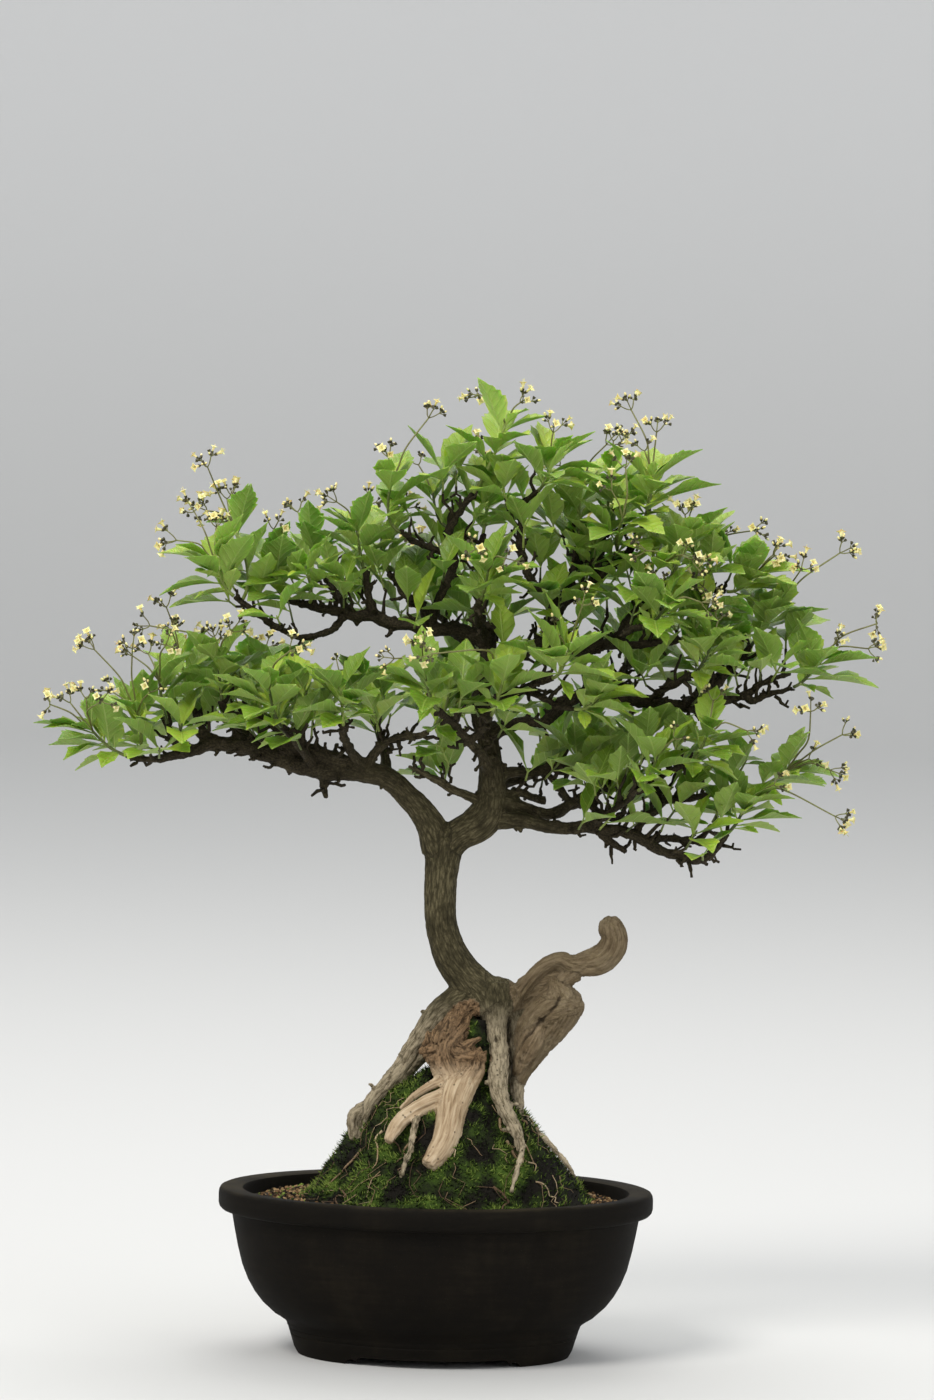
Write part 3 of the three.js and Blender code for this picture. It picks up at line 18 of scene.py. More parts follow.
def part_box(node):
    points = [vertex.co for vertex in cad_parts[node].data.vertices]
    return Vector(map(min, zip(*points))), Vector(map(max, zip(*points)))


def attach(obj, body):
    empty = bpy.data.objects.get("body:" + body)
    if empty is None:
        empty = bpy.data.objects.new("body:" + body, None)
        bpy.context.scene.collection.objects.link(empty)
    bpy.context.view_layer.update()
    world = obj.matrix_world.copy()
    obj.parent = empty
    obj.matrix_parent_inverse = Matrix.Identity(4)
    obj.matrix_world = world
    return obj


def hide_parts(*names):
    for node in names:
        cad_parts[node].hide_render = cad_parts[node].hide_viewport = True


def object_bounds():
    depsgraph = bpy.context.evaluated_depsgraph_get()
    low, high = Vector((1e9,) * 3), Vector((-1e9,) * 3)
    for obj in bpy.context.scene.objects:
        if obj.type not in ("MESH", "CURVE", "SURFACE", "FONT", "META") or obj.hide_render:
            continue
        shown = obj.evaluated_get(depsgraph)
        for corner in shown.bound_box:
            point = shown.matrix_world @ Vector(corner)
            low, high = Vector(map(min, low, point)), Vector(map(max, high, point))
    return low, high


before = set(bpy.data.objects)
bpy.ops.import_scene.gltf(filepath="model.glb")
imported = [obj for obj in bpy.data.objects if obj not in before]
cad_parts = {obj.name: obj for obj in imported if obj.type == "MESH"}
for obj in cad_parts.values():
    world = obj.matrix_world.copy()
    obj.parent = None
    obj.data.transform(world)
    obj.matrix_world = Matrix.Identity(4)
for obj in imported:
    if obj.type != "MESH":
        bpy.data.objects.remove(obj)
cad_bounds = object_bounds()

MM = 0.001
SEED = 20260227
UP = np.array([0.0, 0.0, 1.0])
POT_BOX = np.array(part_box("pot"))
POT_PLACE = np.array([*(POT_BOX[0, :2] + POT_BOX[1, :2]) / 2, 0.0])  # the pot's own frame in the model's
ROOM_BOX = [(np.array(corner) - POT_PLACE) / MM for corner in cad_bounds]

# The camera, in mm from the pot's middle
CAMERA_PLACE = (13.0, -3500.0, 567.0)
CAMERA_TILT = 2.81  # degrees below level
CAMERA_ROLL = 1.1
CAMERA_LENS = 150.0  # for a frame 36 mm high

# Pot
DEPTH_RATIO = 0.748
CREASE_ANGLE = math.pi / 3
CREASE_DIP = 0.022
POT_SEGMENTS = 240
POT_OUTSIDE = [
    (82, 0), (84.2, 4), (86, 10), (86.6, 11.6), (86.2, 12.3), (87, 13.1), (87.6, 15), (87.4, 15.8),
    (88.2, 16.6), (88.8, 18.6), (90.4, 20.4), (93.4, 22.4), (97, 24.6), (104, 31), (108.6, 37), (112.6, 44),
    (116.2, 53), (119, 64), (121.2, 75), (122.8, 84), (123.6, 86), (126.8, 86.1), (129.1, 86.8),
    (130.4, 88.2), (131, 90.4), (131, 95.6), (130.7, 97.8), (129.8, 99.4), (128.4, 100), (118.6, 99.6),
    (116.6, 99), (115.8, 97.4),
]  # half length and height, from the foot up and over the rim
POT_INSIDE = [(114, 78), (112, 65), (108, 52), (97, 31), (84, 17), (78, 14)]
POT_EDGE = 38  # degrees between faces from which an edge shows as one
FLOOR_UNDERSIDE = 6
FOOT_INSIDE = 73.5
FOOT_SEGMENTS = 96
LONG_ARCH = 52
END_ARCH = 22
ARCH_HEIGHT = 5
ARCH_CURVE = [(0, 0), (1.2, 2.2), (3, 3.1), (4.8, 2.9), (6, 2), (7.2, 3.6), (9, 4.7), (11.5, ARCH_HEIGHT)]
DRAIN_RADIUS = 9
DRAIN_PLACE = 40
DRAIN_SEGMENTS = 48

# Soil and moss
SOIL_TOP = 93
SOIL_REACH = 113
SOIL_LEVEL = 0.85  # share of the way to the pot's wall from which the soil lies lower
SOIL_DIP = 1.5
GRAINS = 1900
GRAIN_FIELD = (114, 86)
GRAIN_REACH = 111.5
BARE_FROM = 0.97  # share of the mound's size past which grit lies
MOUND_CENTRE = (7, 2)
MOUND_HALF_LENGTH = 84
MOUND_HALF_DEPTH = 64
MOUND_HEIGHT = 70
MOUND_SKIRT = 1.05  # where the mound's skin ends, beside its size
MOUND_ROWS = 56
MOUND_SIDES = 150
MOSS_SHOOTS = 13000
CORE_SHOOTS = 900
SHOOT_LENGTH = (1.4, 4.4)
SHOOT_WIDTH = (0.35, 0.8)
MOSS_THREADS = 90
FINE_ROOTS = 26
PATCH_SIZE = 11
EARTH_FROM = 48  # the place to the right from which the moss grows thinly
MOSS_CORE = [(20, 4, 150, 17), (21, 0, 166, 12.5), (22, -3, 180, 10.5), (22, -4, 193, 9), (23, -3, 203, 7)]

# Stems, leaves and flowers, as in the part's source
DRAW_FACTOR = 1664525
DRAW_TERM = 1013904223
DRAW_RANGE = 4294967296
LEAF_SEED = 7919
LEAF_SEED_STEP = 104729
HEAD_SEED = 15485863
HEAD_SEED_STEP = 32452843
TOUCH = 0.35
LEAF_ROOM = 4.4
KIN_ROOM = 3
STEM_ROOM = 2.3
WOOD_ROOM = 3.1
STALK_PART = 0.8
STEM_FOOT = 0.36
SHOOT_START = 8
LEAF_WIDTH = 0.5
LEAF_FOLD = 0.42
INNER_PART = 0.14
LOWEST_RISE = 0.1
HIGHEST_RISE = 1.3
TRIES = 14
SPREAD_ROWS = [(0.15, 0.12), (0.3, 0.29), (0.45, 0.45), (0.6, 0.47), (0.75, 0.3), (0.9, 0.1)]
SHORTEST_STALK = 23
HEAD_HEIGHT = 8
HEAD_SPREAD = 7

# What the finer sprays add
STEM_RADIUS = 1.15
YOUNG_STEM_RADIUS = 0.75
LEAF_THICK = 0.45
LEAF_OUTLINE = [
    (0, 0.02), (0.08, 0.026), (0.14, 0.07), (0.2, 0.15), (0.28, 0.27), (0.36, 0.38), (0.44, 0.46),
    (0.52, 0.5), (0.6, 0.49), (0.68, 0.44), (0.76, 0.335), (0.84, 0.19), (0.92, 0.085), (1, 0),
]  # half width over full width, along the length
TEETH = [(0.6, 0.75), (0.56, 0.68, 0.79), (0.65, 0.78), (0.7,)]  # shares of the length, one row for a leaf
YOUNG_TEETH = [(0.62, 0.77), (0.7,)]
BLADE_SHARES = (0, 0.07, 0.14, 0.22, 0.32, 0.43, 0.52, 0.86, 0.93, 0.985)
YOUNG_SHARES = (0, 0.1, 0.2, 0.32, 0.46, 0.88, 0.97)
WIDER = 1.16  # a finer blade over the solid's
YOUNG_ROOM = 2.2  # how much nearer the smaller leaves may come than the large ones
YOUNG_MARGIN = 0.5
YOUNG_LEAVES = [
    (1.0, 0.6, 1.1, (0, 180)), (0.97, 0.34, 1.25, (90, 270)), (0.62, 0.72, 0.9, (60, 240)),
    (0.3, 0.66, 0.8, (40, 220)), (0.2, 0.5, 0.8, (130, 310)),
]  # for each pair: its share of the stem, its size beside a full leaf, its lean along the stem, its turns
SPUR_STEP = 6
LEAFY_SPURS = 0.85
FIRST_TWIG = 0.3  # share of a branch before which no twig stands
LOWEST_TWIG = 300
THICKEST_TWIG_WOOD = 5.5
FIRST_TWIG_OWNER = 1000  # twigs are numbered from here, past all sprays

# Flowers: for each row its distance along the flower, its radius and how much of its lobes shows there
CUP = [(0, 0.35, 0), (0.5, 0.9, 0), (1.5, 1.15, 0), (2.1, 1.3, 0), (1.8, 0.8, 0)]
BUD = [(1.2, 0.7, 0), (2.2, 0.85, 0), (3.2, 1.0, 0), (4.0, 0.8, 0), (4.5, 0.35, 0)]
BLOOM = [
    (1.4, 0.6, 0), (3.2, 0.85, 0), (4.8, 1.1, 0), (6.0, 1.5, 0.1), (6.7, 2.2, 0.7), (6.6, 2.9, 1),
    (6.4, 2.3, 0.8), (5.6, 1.05, 0.1), (4.4, 0.8, 0),
]
LOBES = 4
LOBE_DEPTH = 0.32
ARM_PART = 0.62  # of the way from a fork to the end of a flower in the part's source
HEAD_MARGIN = 10.2  # from the end of an arm to the side of the whole object's box
LOW_HEAD_MARGIN = 9
LOW_HEAD_ROOM = 3.4
LOW_HEAD_CHANCE = 0.4
END_SPRAYS = 118  # how far from the middle a spray's tip lies that always bears small flower heads

# What the finer wood adds: burls, each a middle and its half sizes, and what is carved into the wood
LUMPS = [
    ((34, 0, 216), (16, 12, 13)), ((25, -4, 214), (13, 8, 9)), ((33, -4, 208), (8.5, 6.5, 14)),
    ((49, 3, 203), (8, 7, 16)), ((73, -6, 212), (14, 9.5, 13.5)), ((102.5, -6, 259.5), (8.2, 8.2, 8)),
]
CLEFTS = [
    (2.3, 0.8, [(72, -15.7, 219), (69.5, -18, 213.5), (64.5, -17, 208), (60.5, -16, 203.5)]),
    (2.5, 1.0, [(60.5, -16, 203.5), (55.5, -14.5, 198.5), (51, -11.5, 192), (49, -9, 185)]),
    (1.7, 0.8, [(62.5, -16.3, 205.5), (67, -14.6, 202), (71, -13, 201)]),
]  # for each: its depth, its half width and its places
HOLLOWS = [
    ((10, -29, 174), 3.0, 4.5), ((60.5, -16, 204), 1.8, 3.2), ((34, -14, 192), 1.6, 2.0),
]  # for each: its middle, its radius and its depth
SPLINTERS = [
    [(9, -15, 194, 4), (12, -14, 204, 3), (13, -13, 211, 1.3)],
    [(2, -17, 192, 4.5), (5, -16, 201, 3), (6, -15, 206.5, 1.2)],
    [(-5, -16, 186, 4), (-6, -15, 193, 2.6), (-7, -14, 197, 1.1)],
    [(14, -17, 186, 4), (21, -15, 191, 2.4), (26, -13, 193, 1.1)],
]
BURL_SLAB = [(48, -2, 172, 4), (52, -5, 182, 6.5), (57, -8, 192, 7.5), (61, -9, 200, 6)]
BLADE_DEPTH = 0.62  # depth of the dead blades beside their width
WOOD_STEP = 1.5
BASE_VOXEL = 1.02
CROWN_VOXEL = 1.16
SMOOTHING = (0.5, -0.52)  # how far each point moves to its neighbours' middle, in turns
DARK_FROM = 22  # distance from the fork of the trunk from which the bark darkens
DARK_OVER = 75
PALE_BELOW = 216
PALE_OVER = 24
TORN_ABOVE = 168
TORN_OVER = 12

# Wood routes, in given lists: each point is x, y, z and the radius there.
TRUNK = [
    (31, 0, 212, 14), (23, 0, 221, 12.5), (14, 0, 230, 11.3), (7, 0, 240, 10.6), (3, 0, 250, 10),
    (0, 0, 261, 9.6), (-1, 0, 275, 9.7), (-0.5, 0, 290, 10), (0.5, 0, 303, 11.2), (1, 0, 311, 11),
]
LIMBS = {
    "left_limb": [
        (-2, 0, 306, 11), (-7, 0, 319, 9.2), (-15, -1, 330, 7.8), (-22, -2, 337, 7.1), (-29, -3, 344, 6.7),
        (-37, -4, 349, 6.6), (-48, -5, 351, 6.5), (-60, -6, 352, 6.3), (-74, -7, 352, 6.2),
        (-88, -7, 355, 5.6), (-101, -6, 359, 5.2), (-114, -5, 363, 4.8), (-127, -4, 366, 4.6),
        (-139, -4, 366, 4.2), (-151, -5, 362, 3.4), (-163, -8, 359, 2.8), (-176, -11, 356, 2.2),
        (-188, -13, 358, 1.7), (-198, -15, 361, 1.4),
    ],
    "right_limb": [
        (1, 0, 306, 11), (10, 0, 314, 10), (20, 0, 320, 11), (27, 0, 328, 11), (29, 1, 337, 9.6),
        (29, 1, 347, 8), (28, 2, 357, 7), (27, 2, 366, 6.4), (24, 3, 376, 6.2), (21, 3, 386, 6),
        (21, 4, 397, 5.8), (23, 5, 410, 5.6), (25, 5, 424, 5.4), (25, 3, 434, 5.2), (25, -1, 441, 5),
    ],
    "leader": [
        (22, 5, 403, 4.6), (28, 4, 410, 4.4), (35, 3, 417, 4.2), (43, 2, 422, 4), (52, 1, 428, 4),
        (61, 1, 432, 4.2), (70, 1, 433, 4), (76, 0, 427, 3.6), (81, 0, 425, 3.5), (89, -1, 428, 3.6),
        (97, -1, 430, 3.7), (105, -1, 431, 3.6),
    ],
    "low_right": [
        (30, 0, 324, 7), (40, -2, 324, 5.6), (50, -4, 323, 4.6), (62, -6, 320.5, 4.1), (73, -7, 320, 3.8),
        (84, -8, 321, 3.6), (95, -9, 320, 3.6), (106, -10, 319, 3.4), (116, -12, 316, 3.2),
        (124, -13, 311, 3.2), (132, -14, 307, 3), (141, -15, 305, 3), (150, -16, 303, 2.9),
        (158, -18, 304, 2.6), (164, -19, 310, 2.3), (169, -20, 318, 2), (175, -21, 324, 1.7),
    ],
    "mid_right": [
        (33, 0, 335, 5.4), (45, 2, 332, 4.2), (56, 4, 328, 3.7), (66, 5, 327, 3.6), (75, 5, 332, 3.6),
        (86, 5, 338.5, 3.6), (98, 5, 344, 3.5), (109, 5, 344, 3.4), (120, 6, 343.5, 3.2),
        (128, 6, 341.5, 3), (136, 7, 337, 2.9), (146, 7, 338, 2.5), (157, 8, 340, 2.1),
        (168, 8, 342.5, 1.8), (180, 8, 344, 1.5), (193, 8, 346, 1.3),
    ],
    "high_right": [
        (28, 2, 374, 4.8), (38, 5, 379.5, 4), (47, 7, 382, 3.8), (57, 8, 380.5, 3.5), (65, 9, 387.5, 3.5),
        (74, 10, 395, 3.7), (85, 11, 399, 4), (96, 11, 399.5, 4), (107, 11, 397.5, 4), (117, 11, 396.5, 4),
        (127, 11, 395, 3.9), (138, 11, 394, 3.6), (152, 11, 393, 3.4), (164, 12, 396.5, 3),
        (174, 12, 399, 2.6), (182, 12, 402, 2.3), (190, 12, 408, 2), (199, 12, 412, 1.6),
        (208, 12, 415, 1.4),
    ],
    "upper_left": [
        (23, 4, 430, 4.8), (8, 3, 437, 4.2), (-11, 4, 437, 4), (-22, 5, 440, 3.8), (-33, 6, 440, 3.8),
        (-44, 6, 445, 3.8), (-56, 6, 444, 3.4), (-66, 7, 447, 3.1), (-76, 8, 448, 2.8), (-86, 8, 451, 2.4),
        (-95, 9, 453, 1.9), (-103, 10, 458, 1.5),
    ],
}
BRANCHES = {
    "left_strand": [
        (-50, -8, 354, 4), (-66, -12, 359, 4.2), (-82, -11, 364, 3.8), (-96, -7, 368, 3.4),
        (-110, -3, 368.5, 3), (-131, -3, 368, 3),
    ],
    "left_hook": [(-72, -7, 350, 3), (-72, -7, 342, 2.2), (-70, -8, 335, 1.6)],
    "left_rise": [
        (-92, -8, 361, 3.6), (-98, -10, 370, 3), (-102, -12, 378, 2.8), (-110, -14, 383, 2.8),
        (-127, -17, 385, 2.6), (-133, -19, 391, 2.3), (-134, -19, 398, 1.9),
    ],
    "left_fork": [(-136, -4, 367, 3.2), (-144, -2, 373, 2.5), (-150, 2, 383, 2), (-155, 6, 393, 1.6)],
    "left_twig": [(-157, -7, 361, 2.4), (-162, -10, 367, 2), (-165, -14, 376, 1.7), (-168, -16, 384, 1.4)],
    "left_back": [
        (-72, -5, 354, 3.4), (-84, 14, 364, 2.9), (-98, 34, 374, 2.4), (-112, 56, 382, 1.9),
        (-118, 72, 388, 1.5),
    ],
    "left_rear": [(-108, -3, 363, 3), (-118, 16, 370, 2.5), (-132, 36, 378, 2), (-146, 52, 384, 1.5)],
    "left_front": [(-78, -9, 355, 3.2), (-84, -26, 364, 2.7), (-92, -42, 374, 2.2), (-100, -56, 384, 1.6)],
    "left_near": [(-48, -7, 354, 3.6), (-56, -22, 364, 3), (-60, -38, 375, 2.4), (-60, -54, 386, 1.7)],
    "left_inner": [
        (-46, -6, 356, 3), (-40, -14, 365, 2.8), (-30, -24, 372, 2.5), (-16, -32, 375, 2.2),
        (-4, -40, 381, 1.7),
    ],
    "rear_left": [(-34, -1, 350, 3.4), (-36, 18, 362, 2.9), (-40, 38, 374, 2.4), (-48, 58, 384, 1.7)],
    "spur": [
        (22, -2, 333, 3.4), (11, -5, 339, 2.8), (4, -8, 343, 2.7), (-3, -11, 347, 2.6),
        (-11, -14, 351, 1.9), (-21, -18, 356, 1.2),
    ],
    "front_centre": [
        (27, -2, 354, 4), (22, -18, 364, 3.3), (13, -36, 374, 2.8), (3, -54, 386, 2.3), (-8, -68, 396, 1.7),
    ],
    "front_fork": [(15, -33, 372, 2.6), (24, -48, 382, 2.2), (30, -62, 394, 1.6)],
    "front_right": [
        (24, -1, 392, 3.8), (34, -18, 398, 3.1), (46, -36, 404, 2.6), (58, -54, 410, 2.1),
        (68, -68, 414, 1.6),
    ],
    "front_right_fork": [(47, -38, 404, 2.3), (66, -44, 396, 2), (84, -52, 392, 1.6)],
    "front_high": [(24, 0, 432, 3.4), (20, -16, 442, 2.8), (18, -32, 452, 2.3), (22, -48, 461, 1.7)],
    "rear_centre": [
        (28, 4, 356, 3.8), (30, 24, 368, 3.2), (26, 46, 380, 2.6), (18, 68, 390, 2.1), (10, 84, 398, 1.6),
    ],
    "rear_right": [(30, 5, 342, 3.6), (48, 24, 348, 3), (66, 44, 354, 2.5), (84, 62, 360, 1.7)],
    "rear_high": [(24, 7, 414, 3.6), (14, 28, 426, 3), (2, 50, 436, 2.4), (-8, 70, 446, 1.6)],
    "rear_leader": [(61, 3, 436, 3.4), (66, 24, 446, 2.9), (74, 46, 456, 2.3), (84, 64, 464, 1.6)],
    "rear_far": [(96, 12, 399, 3.4), (102, 34, 406, 2.8), (110, 56, 414, 2.2), (120, 76, 420, 1.6)],
    "rear_end": [(146, 12, 394, 2.8), (154, 30, 402, 2.4), (164, 48, 410, 1.9), (174, 60, 418, 1.5)],
    "rise_left": [(-44, 5, 446, 3), (-48, 4, 458, 2.4), (-50, 3, 470, 2), (-52, 2, 478, 1.6)],
    "rise_rear_left": [(-58, 7, 446, 2.6), (-64, 24, 454, 2.2), (-72, 40, 462, 1.8), (-78, 52, 470, 1.5)],
    "low_sweep": [
        (-62, 6, 444, 2.6), (-72, -4, 434, 2.2), (-88, -9, 432, 2), (-104, -12, 438, 2),
        (-112, -13, 445, 2.2), (-124, -14, 453, 1.8), (-134, -15, 460, 1.5),
    ],
    "cross_left": [
        (-9, 4, 439, 3.2), (-16, 8, 451, 2.6), (-26, 10, 458, 2.3), (-34, 13, 469, 1.9),
        (-40, 15, 477, 1.6),
    ],
    "apex": [
        (-9, 4, 438, 3.4), (-7, 5, 449, 3), (-2, 5, 462, 2.8), (4, 6, 478, 2.6), (0, 6, 490, 2.8),
        (1, 5, 499, 2.6), (7, 4, 508, 2.1), (13, 2, 517, 1.8), (19, 0, 526, 1.5),
    ],
    "apex_left": [
        (2, 6, 483, 2.4), (-8, 4, 485, 2.2), (-16, 1, 488, 2), (-26, -1, 494, 1.8), (-35, -3, 498, 1.5),
    ],
    "apex_back": [
        (22, 7, 428, 4), (20, 12, 443, 3.6), (22, 16, 458, 3.2), (21, 18, 474, 2.8), (20, 20, 490, 2.2),
        (22, 24, 502, 1.6),
    ],
    "crown_loop": [
        (61, 1, 432, 4), (63, 3, 446, 3.6), (62, 4, 457, 3.2), (52, 1, 466, 2.8), (46, -2, 476, 2.5),
        (43, -3, 490, 2.3), (43, -4, 502, 2.2), (43, -5, 513, 2), (51, -5, 520, 1.8), (58, -6, 526, 1.5),
    ],
    "crown_right": [
        (63, 4, 451, 3.4), (74, 8, 462, 3), (86, 10, 466, 2.8), (97, 9, 476, 2.4), (108, 7, 486, 2.1),
        (116, 2, 500, 1.8), (119, -2, 511, 1.5),
    ],
    "crown_mid": [(72, 8, 461, 2.8), (76, 14, 478, 2.3), (78, 16, 494, 1.9), (78, 16, 505, 1.5)],
    "crown_back": [(88, 10, 467, 2.4), (92, 24, 482, 2.1), (95, 34, 498, 1.8), (96, 38, 512, 1.5)],
    "leader_rise": [
        (104, -1, 431, 3.4), (108, 0, 444, 3), (118, -3, 454, 2.5), (128, -6, 464, 2.1),
        (136, -9, 474, 1.6),
    ],
    "leader_fork": [
        (112, -1, 449, 2.6), (124, 8, 462, 2.2), (142, 14, 466, 2), (160, 16, 464, 1.8),
        (176, 14, 462, 1.5),
    ],
    "leader_front": [(96, -2, 430, 3.2), (102, -18, 436, 2.6), (110, -34, 440, 2.2), (122, -48, 444, 1.6)],
    "leader_low": [(104, -1, 430, 2.8), (120, 2, 431, 2.4), (136, 2, 432, 2.1), (148, 0, 438, 1.6)],
    "high_right_end": [
        (181, 12, 401, 2.4), (185, 10, 397, 2.2), (194, 9, 401, 1.9), (206, 8, 405, 1.6),
        (216, 7, 409, 1.4),
    ],
    "high_right_rise": [
        (150, 11, 395, 3), (162, 14, 405, 2.7), (172, 17, 417, 2.2), (182, 18, 428, 1.7),
        (188, 18, 436, 1.4),
    ],
    "high_right_front": [(124, 9, 397, 2.8), (132, -6, 404, 2.4), (142, -20, 411, 2), (152, -32, 418, 1.5)],
    "low_right_fork": [
        (121, -13, 313, 2.6), (131, -8, 315, 2.4), (143, -3, 314, 2.2), (153, 2, 313.5, 2),
        (161, 6, 321, 1.7), (166, 8, 330, 1.4),
    ],
    "low_right_stub": [(94, -9, 319, 2.8), (101, -8, 311, 2.4), (110, -7, 305.5, 1.5)],
    "low_right_link": [(116, -11, 317, 2.6), (120, -8, 325, 2.5), (129, -2, 332, 2.5), (133, 5, 338, 2.4)],
    "low_right_front": [
        (88, -9, 321, 2.8), (98, -26, 330, 2.3), (110, -42, 340, 1.9), (120, -54, 350, 1.5),
    ],
    "mid_right_over": [
        (31, 1, 351, 4.4), (44, 5, 352, 3.3), (55, 9, 352, 3), (66, 12, 356, 3), (78, 13, 354.5, 2.7),
        (91, 9, 350.5, 2.4), (102, 6, 345, 2.4),
    ],
    "mid_right_drop": [(60, 10, 353, 2.3), (67, 8, 346, 2.1), (76, 5, 335, 2.1)],
    "mid_right_stub": [(35, 0, 336, 3.4), (45, 5, 340, 2.7), (53, 9, 337, 2.5), (62, 11, 335, 2.7)],
    "mid_right_front": [
        (120, 5, 345, 2.7), (127, -12, 351, 2.3), (138, -28, 358, 1.9), (150, -40, 364, 1.5),
    ],
    "mid_right_hook": [(84, 5, 337, 2.4), (93, 3, 330, 2.1), (103, 2, 325, 1.8), (110, 2, 330, 1.4)],
}
ROOTS = {
    "left_stub": [
        (-38, -6, 151, 3.4), (-44, -7, 148, 4.6), (-49, -8, 143, 4.8), (-50, -9, 136, 4),
        (-50, -10, 130, 2.6),
    ],
    "left_root": [
        (22, 1, 220, 11), (13, 1, 216, 9.6), (5, 0, 209.5, 8.8), (-3, -1, 202, 7.8), (-9, -2, 194.5, 6.9),
        (-14, -3, 187, 6), (-19, -4, 179.5, 5.3), (-24, -5, 172, 5), (-30, -6, 165, 4.8),
        (-36, -7, 158, 4.6), (-41, -8, 150.5, 4.2), (-45, -9, 140, 3.4), (-47, -10, 128, 2.4),
    ],
    "front_root": [
        (32, -1, 224, 10), (33, -4, 215, 7.6), (34, -6, 204, 6.9), (35, -8, 192, 6), (36, -10, 182, 5.8),
        (36, -13, 172, 6), (37, -18, 163, 5.4), (40, -24, 154, 4.9), (44, -30, 145.5, 4.3),
        (48, -36, 138, 3.5), (50, -40, 128, 2.4),
    ],
    "right_root": [
        (42, 5, 219, 8), (45, 4, 208, 5.6), (46, 3, 197, 5.1), (47, 2, 186, 5.1), (49, 1, 173, 5.1),
        (48, 0, 162, 4.8), (47.5, -1, 151, 4.4), (48.5, -2, 140, 3.8), (51, -3, 128, 2.6),
    ],
    "rear_root": [
        (28, 7, 216, 8.5), (24, 14, 203, 7.2), (19, 21, 189, 6.4), (14, 27, 175, 5.8), (10, 33, 161, 5),
        (7, 38, 146, 4), (6, 41, 132, 2.8),
    ],
    "rear_left_root": [
        (16, 5, 213, 7.5), (6, 13, 200, 6.4), (-5, 20, 186, 5.6), (-16, 26, 171, 5), (-25, 31, 156, 4.4),
        (-31, 35, 141, 3.4), (-34, 37, 127, 2.4),
    ],
    "rear_right_root": [
        (41, 7, 214, 7), (43, 14, 200, 5.8), (44, 21, 186, 5.2), (45, 27, 171, 4.8), (46, 33, 156, 4.2),
        (47, 38, 141, 3.2), (47, 41, 127, 2.4),
    ],
}
DEAD_WOOD = {
    "dead_top": [
        (17, -8, 208, 3.6), (12, -12, 202, 8.5), (6, -14, 194, 10), (3, -15, 186, 11), (5, -16, 178, 11),
        (9, -17, 170, 9.5),
    ],
    "dead_shoulder": [
        (-10, -14, 182, 4.6), (-4, -15, 185, 8), (8, -15, 184, 8.5), (20, -15, 182, 6.5), (28, -13, 181, 4),
    ],
    "dead_blade": [
        (22, -14, 184, 6), (20, -16, 175, 8), (14, -20, 166, 10), (10, -26, 157, 10.5), (8, -32, 148, 9.3),
        (6.5, -38, 140, 8.2), (4, -43, 132.5, 7.4), (0, -47, 126, 6.8), (-5, -51, 120, 5),
    ],
    "dead_arm": [
        (5, -26, 158, 7), (-4, -28, 155, 6), (-13, -31, 150.5, 5.4), (-21, -35, 145.5, 5),
        (-26, -39, 139, 4.4), (-29, -43, 133, 3),
    ],
    "dead_strand": [
        (7, -18, 170, 4), (-1, -19, 166, 3.4), (-8, -19, 162, 2.8), (-15, -20, 157, 2.4),
        (-22, -23, 150, 1.8),
    ],
    "horn_stem": [
        (48, 0, 164, 4), (52, -2, 173, 5), (57, -4, 182, 6.2), (63, -5, 191, 7.6), (69, -6, 200, 9.6),
        (73, -6, 209, 12), (73, -6, 217, 10.5), (70, -5, 225, 5.5),
    ],
    "horn_lobe": [
        (50, 0, 188, 5.5), (55, -2, 197, 9), (62, -4, 205, 12), (71, -6, 211, 13), (80, -6, 213, 9.5),
        (86, -6, 215, 4.5),
    ],
    "horn_back": [(44, 3, 214, 6), (52, 4, 221, 7.5), (62, 3, 226, 7.5), (72, 0, 229, 7), (80, -3, 231, 6)],
    "horn_arm": [
        (45, 0, 214, 4.4), (50, -2, 223, 4), (56, -3, 231, 4), (64, -4, 237.5, 4.2), (72, -5, 240, 4.8),
        (80, -6, 237.5, 6), (88, -6, 238, 7.6), (96, -6, 240.5, 8.4), (102, -6, 246, 8.6),
        (104.5, -6, 253, 8.4), (103, -6, 260, 7.6), (101, -6, 265.5, 5.2),
    ],
    "horn_link": [(67, -5, 222, 4.4), (74, -5, 228, 5), (82, -6, 233, 5.4)],
}
RUNNERS = {
    "runner_left": [
        (-11, -30, 150, 2.4), (-13, -39, 143, 2.1), (-14.5, -45, 136, 2.1), (-15.5, -49.5, 129, 2),
        (-19, -53.5, 121, 1.7), (-21, -55, 113, 1.3),
    ],
    "runner_right": [
        (47, -35, 138, 2.4), (51, -41, 134, 2), (50.5, -46, 127, 1.8), (48.5, -50.5, 120, 1.8),
        (46.5, -53.5, 113, 1.6), (45, -55, 106, 1.2),
    ],
    "runner_side": [
        (49, -3, 142, 3), (57, -8, 139, 2.4), (64, -11, 133, 2), (71, -13, 126.5, 1.8), (78, -15, 119, 1.5),
        (84, -16, 110, 1.1),
    ],
}
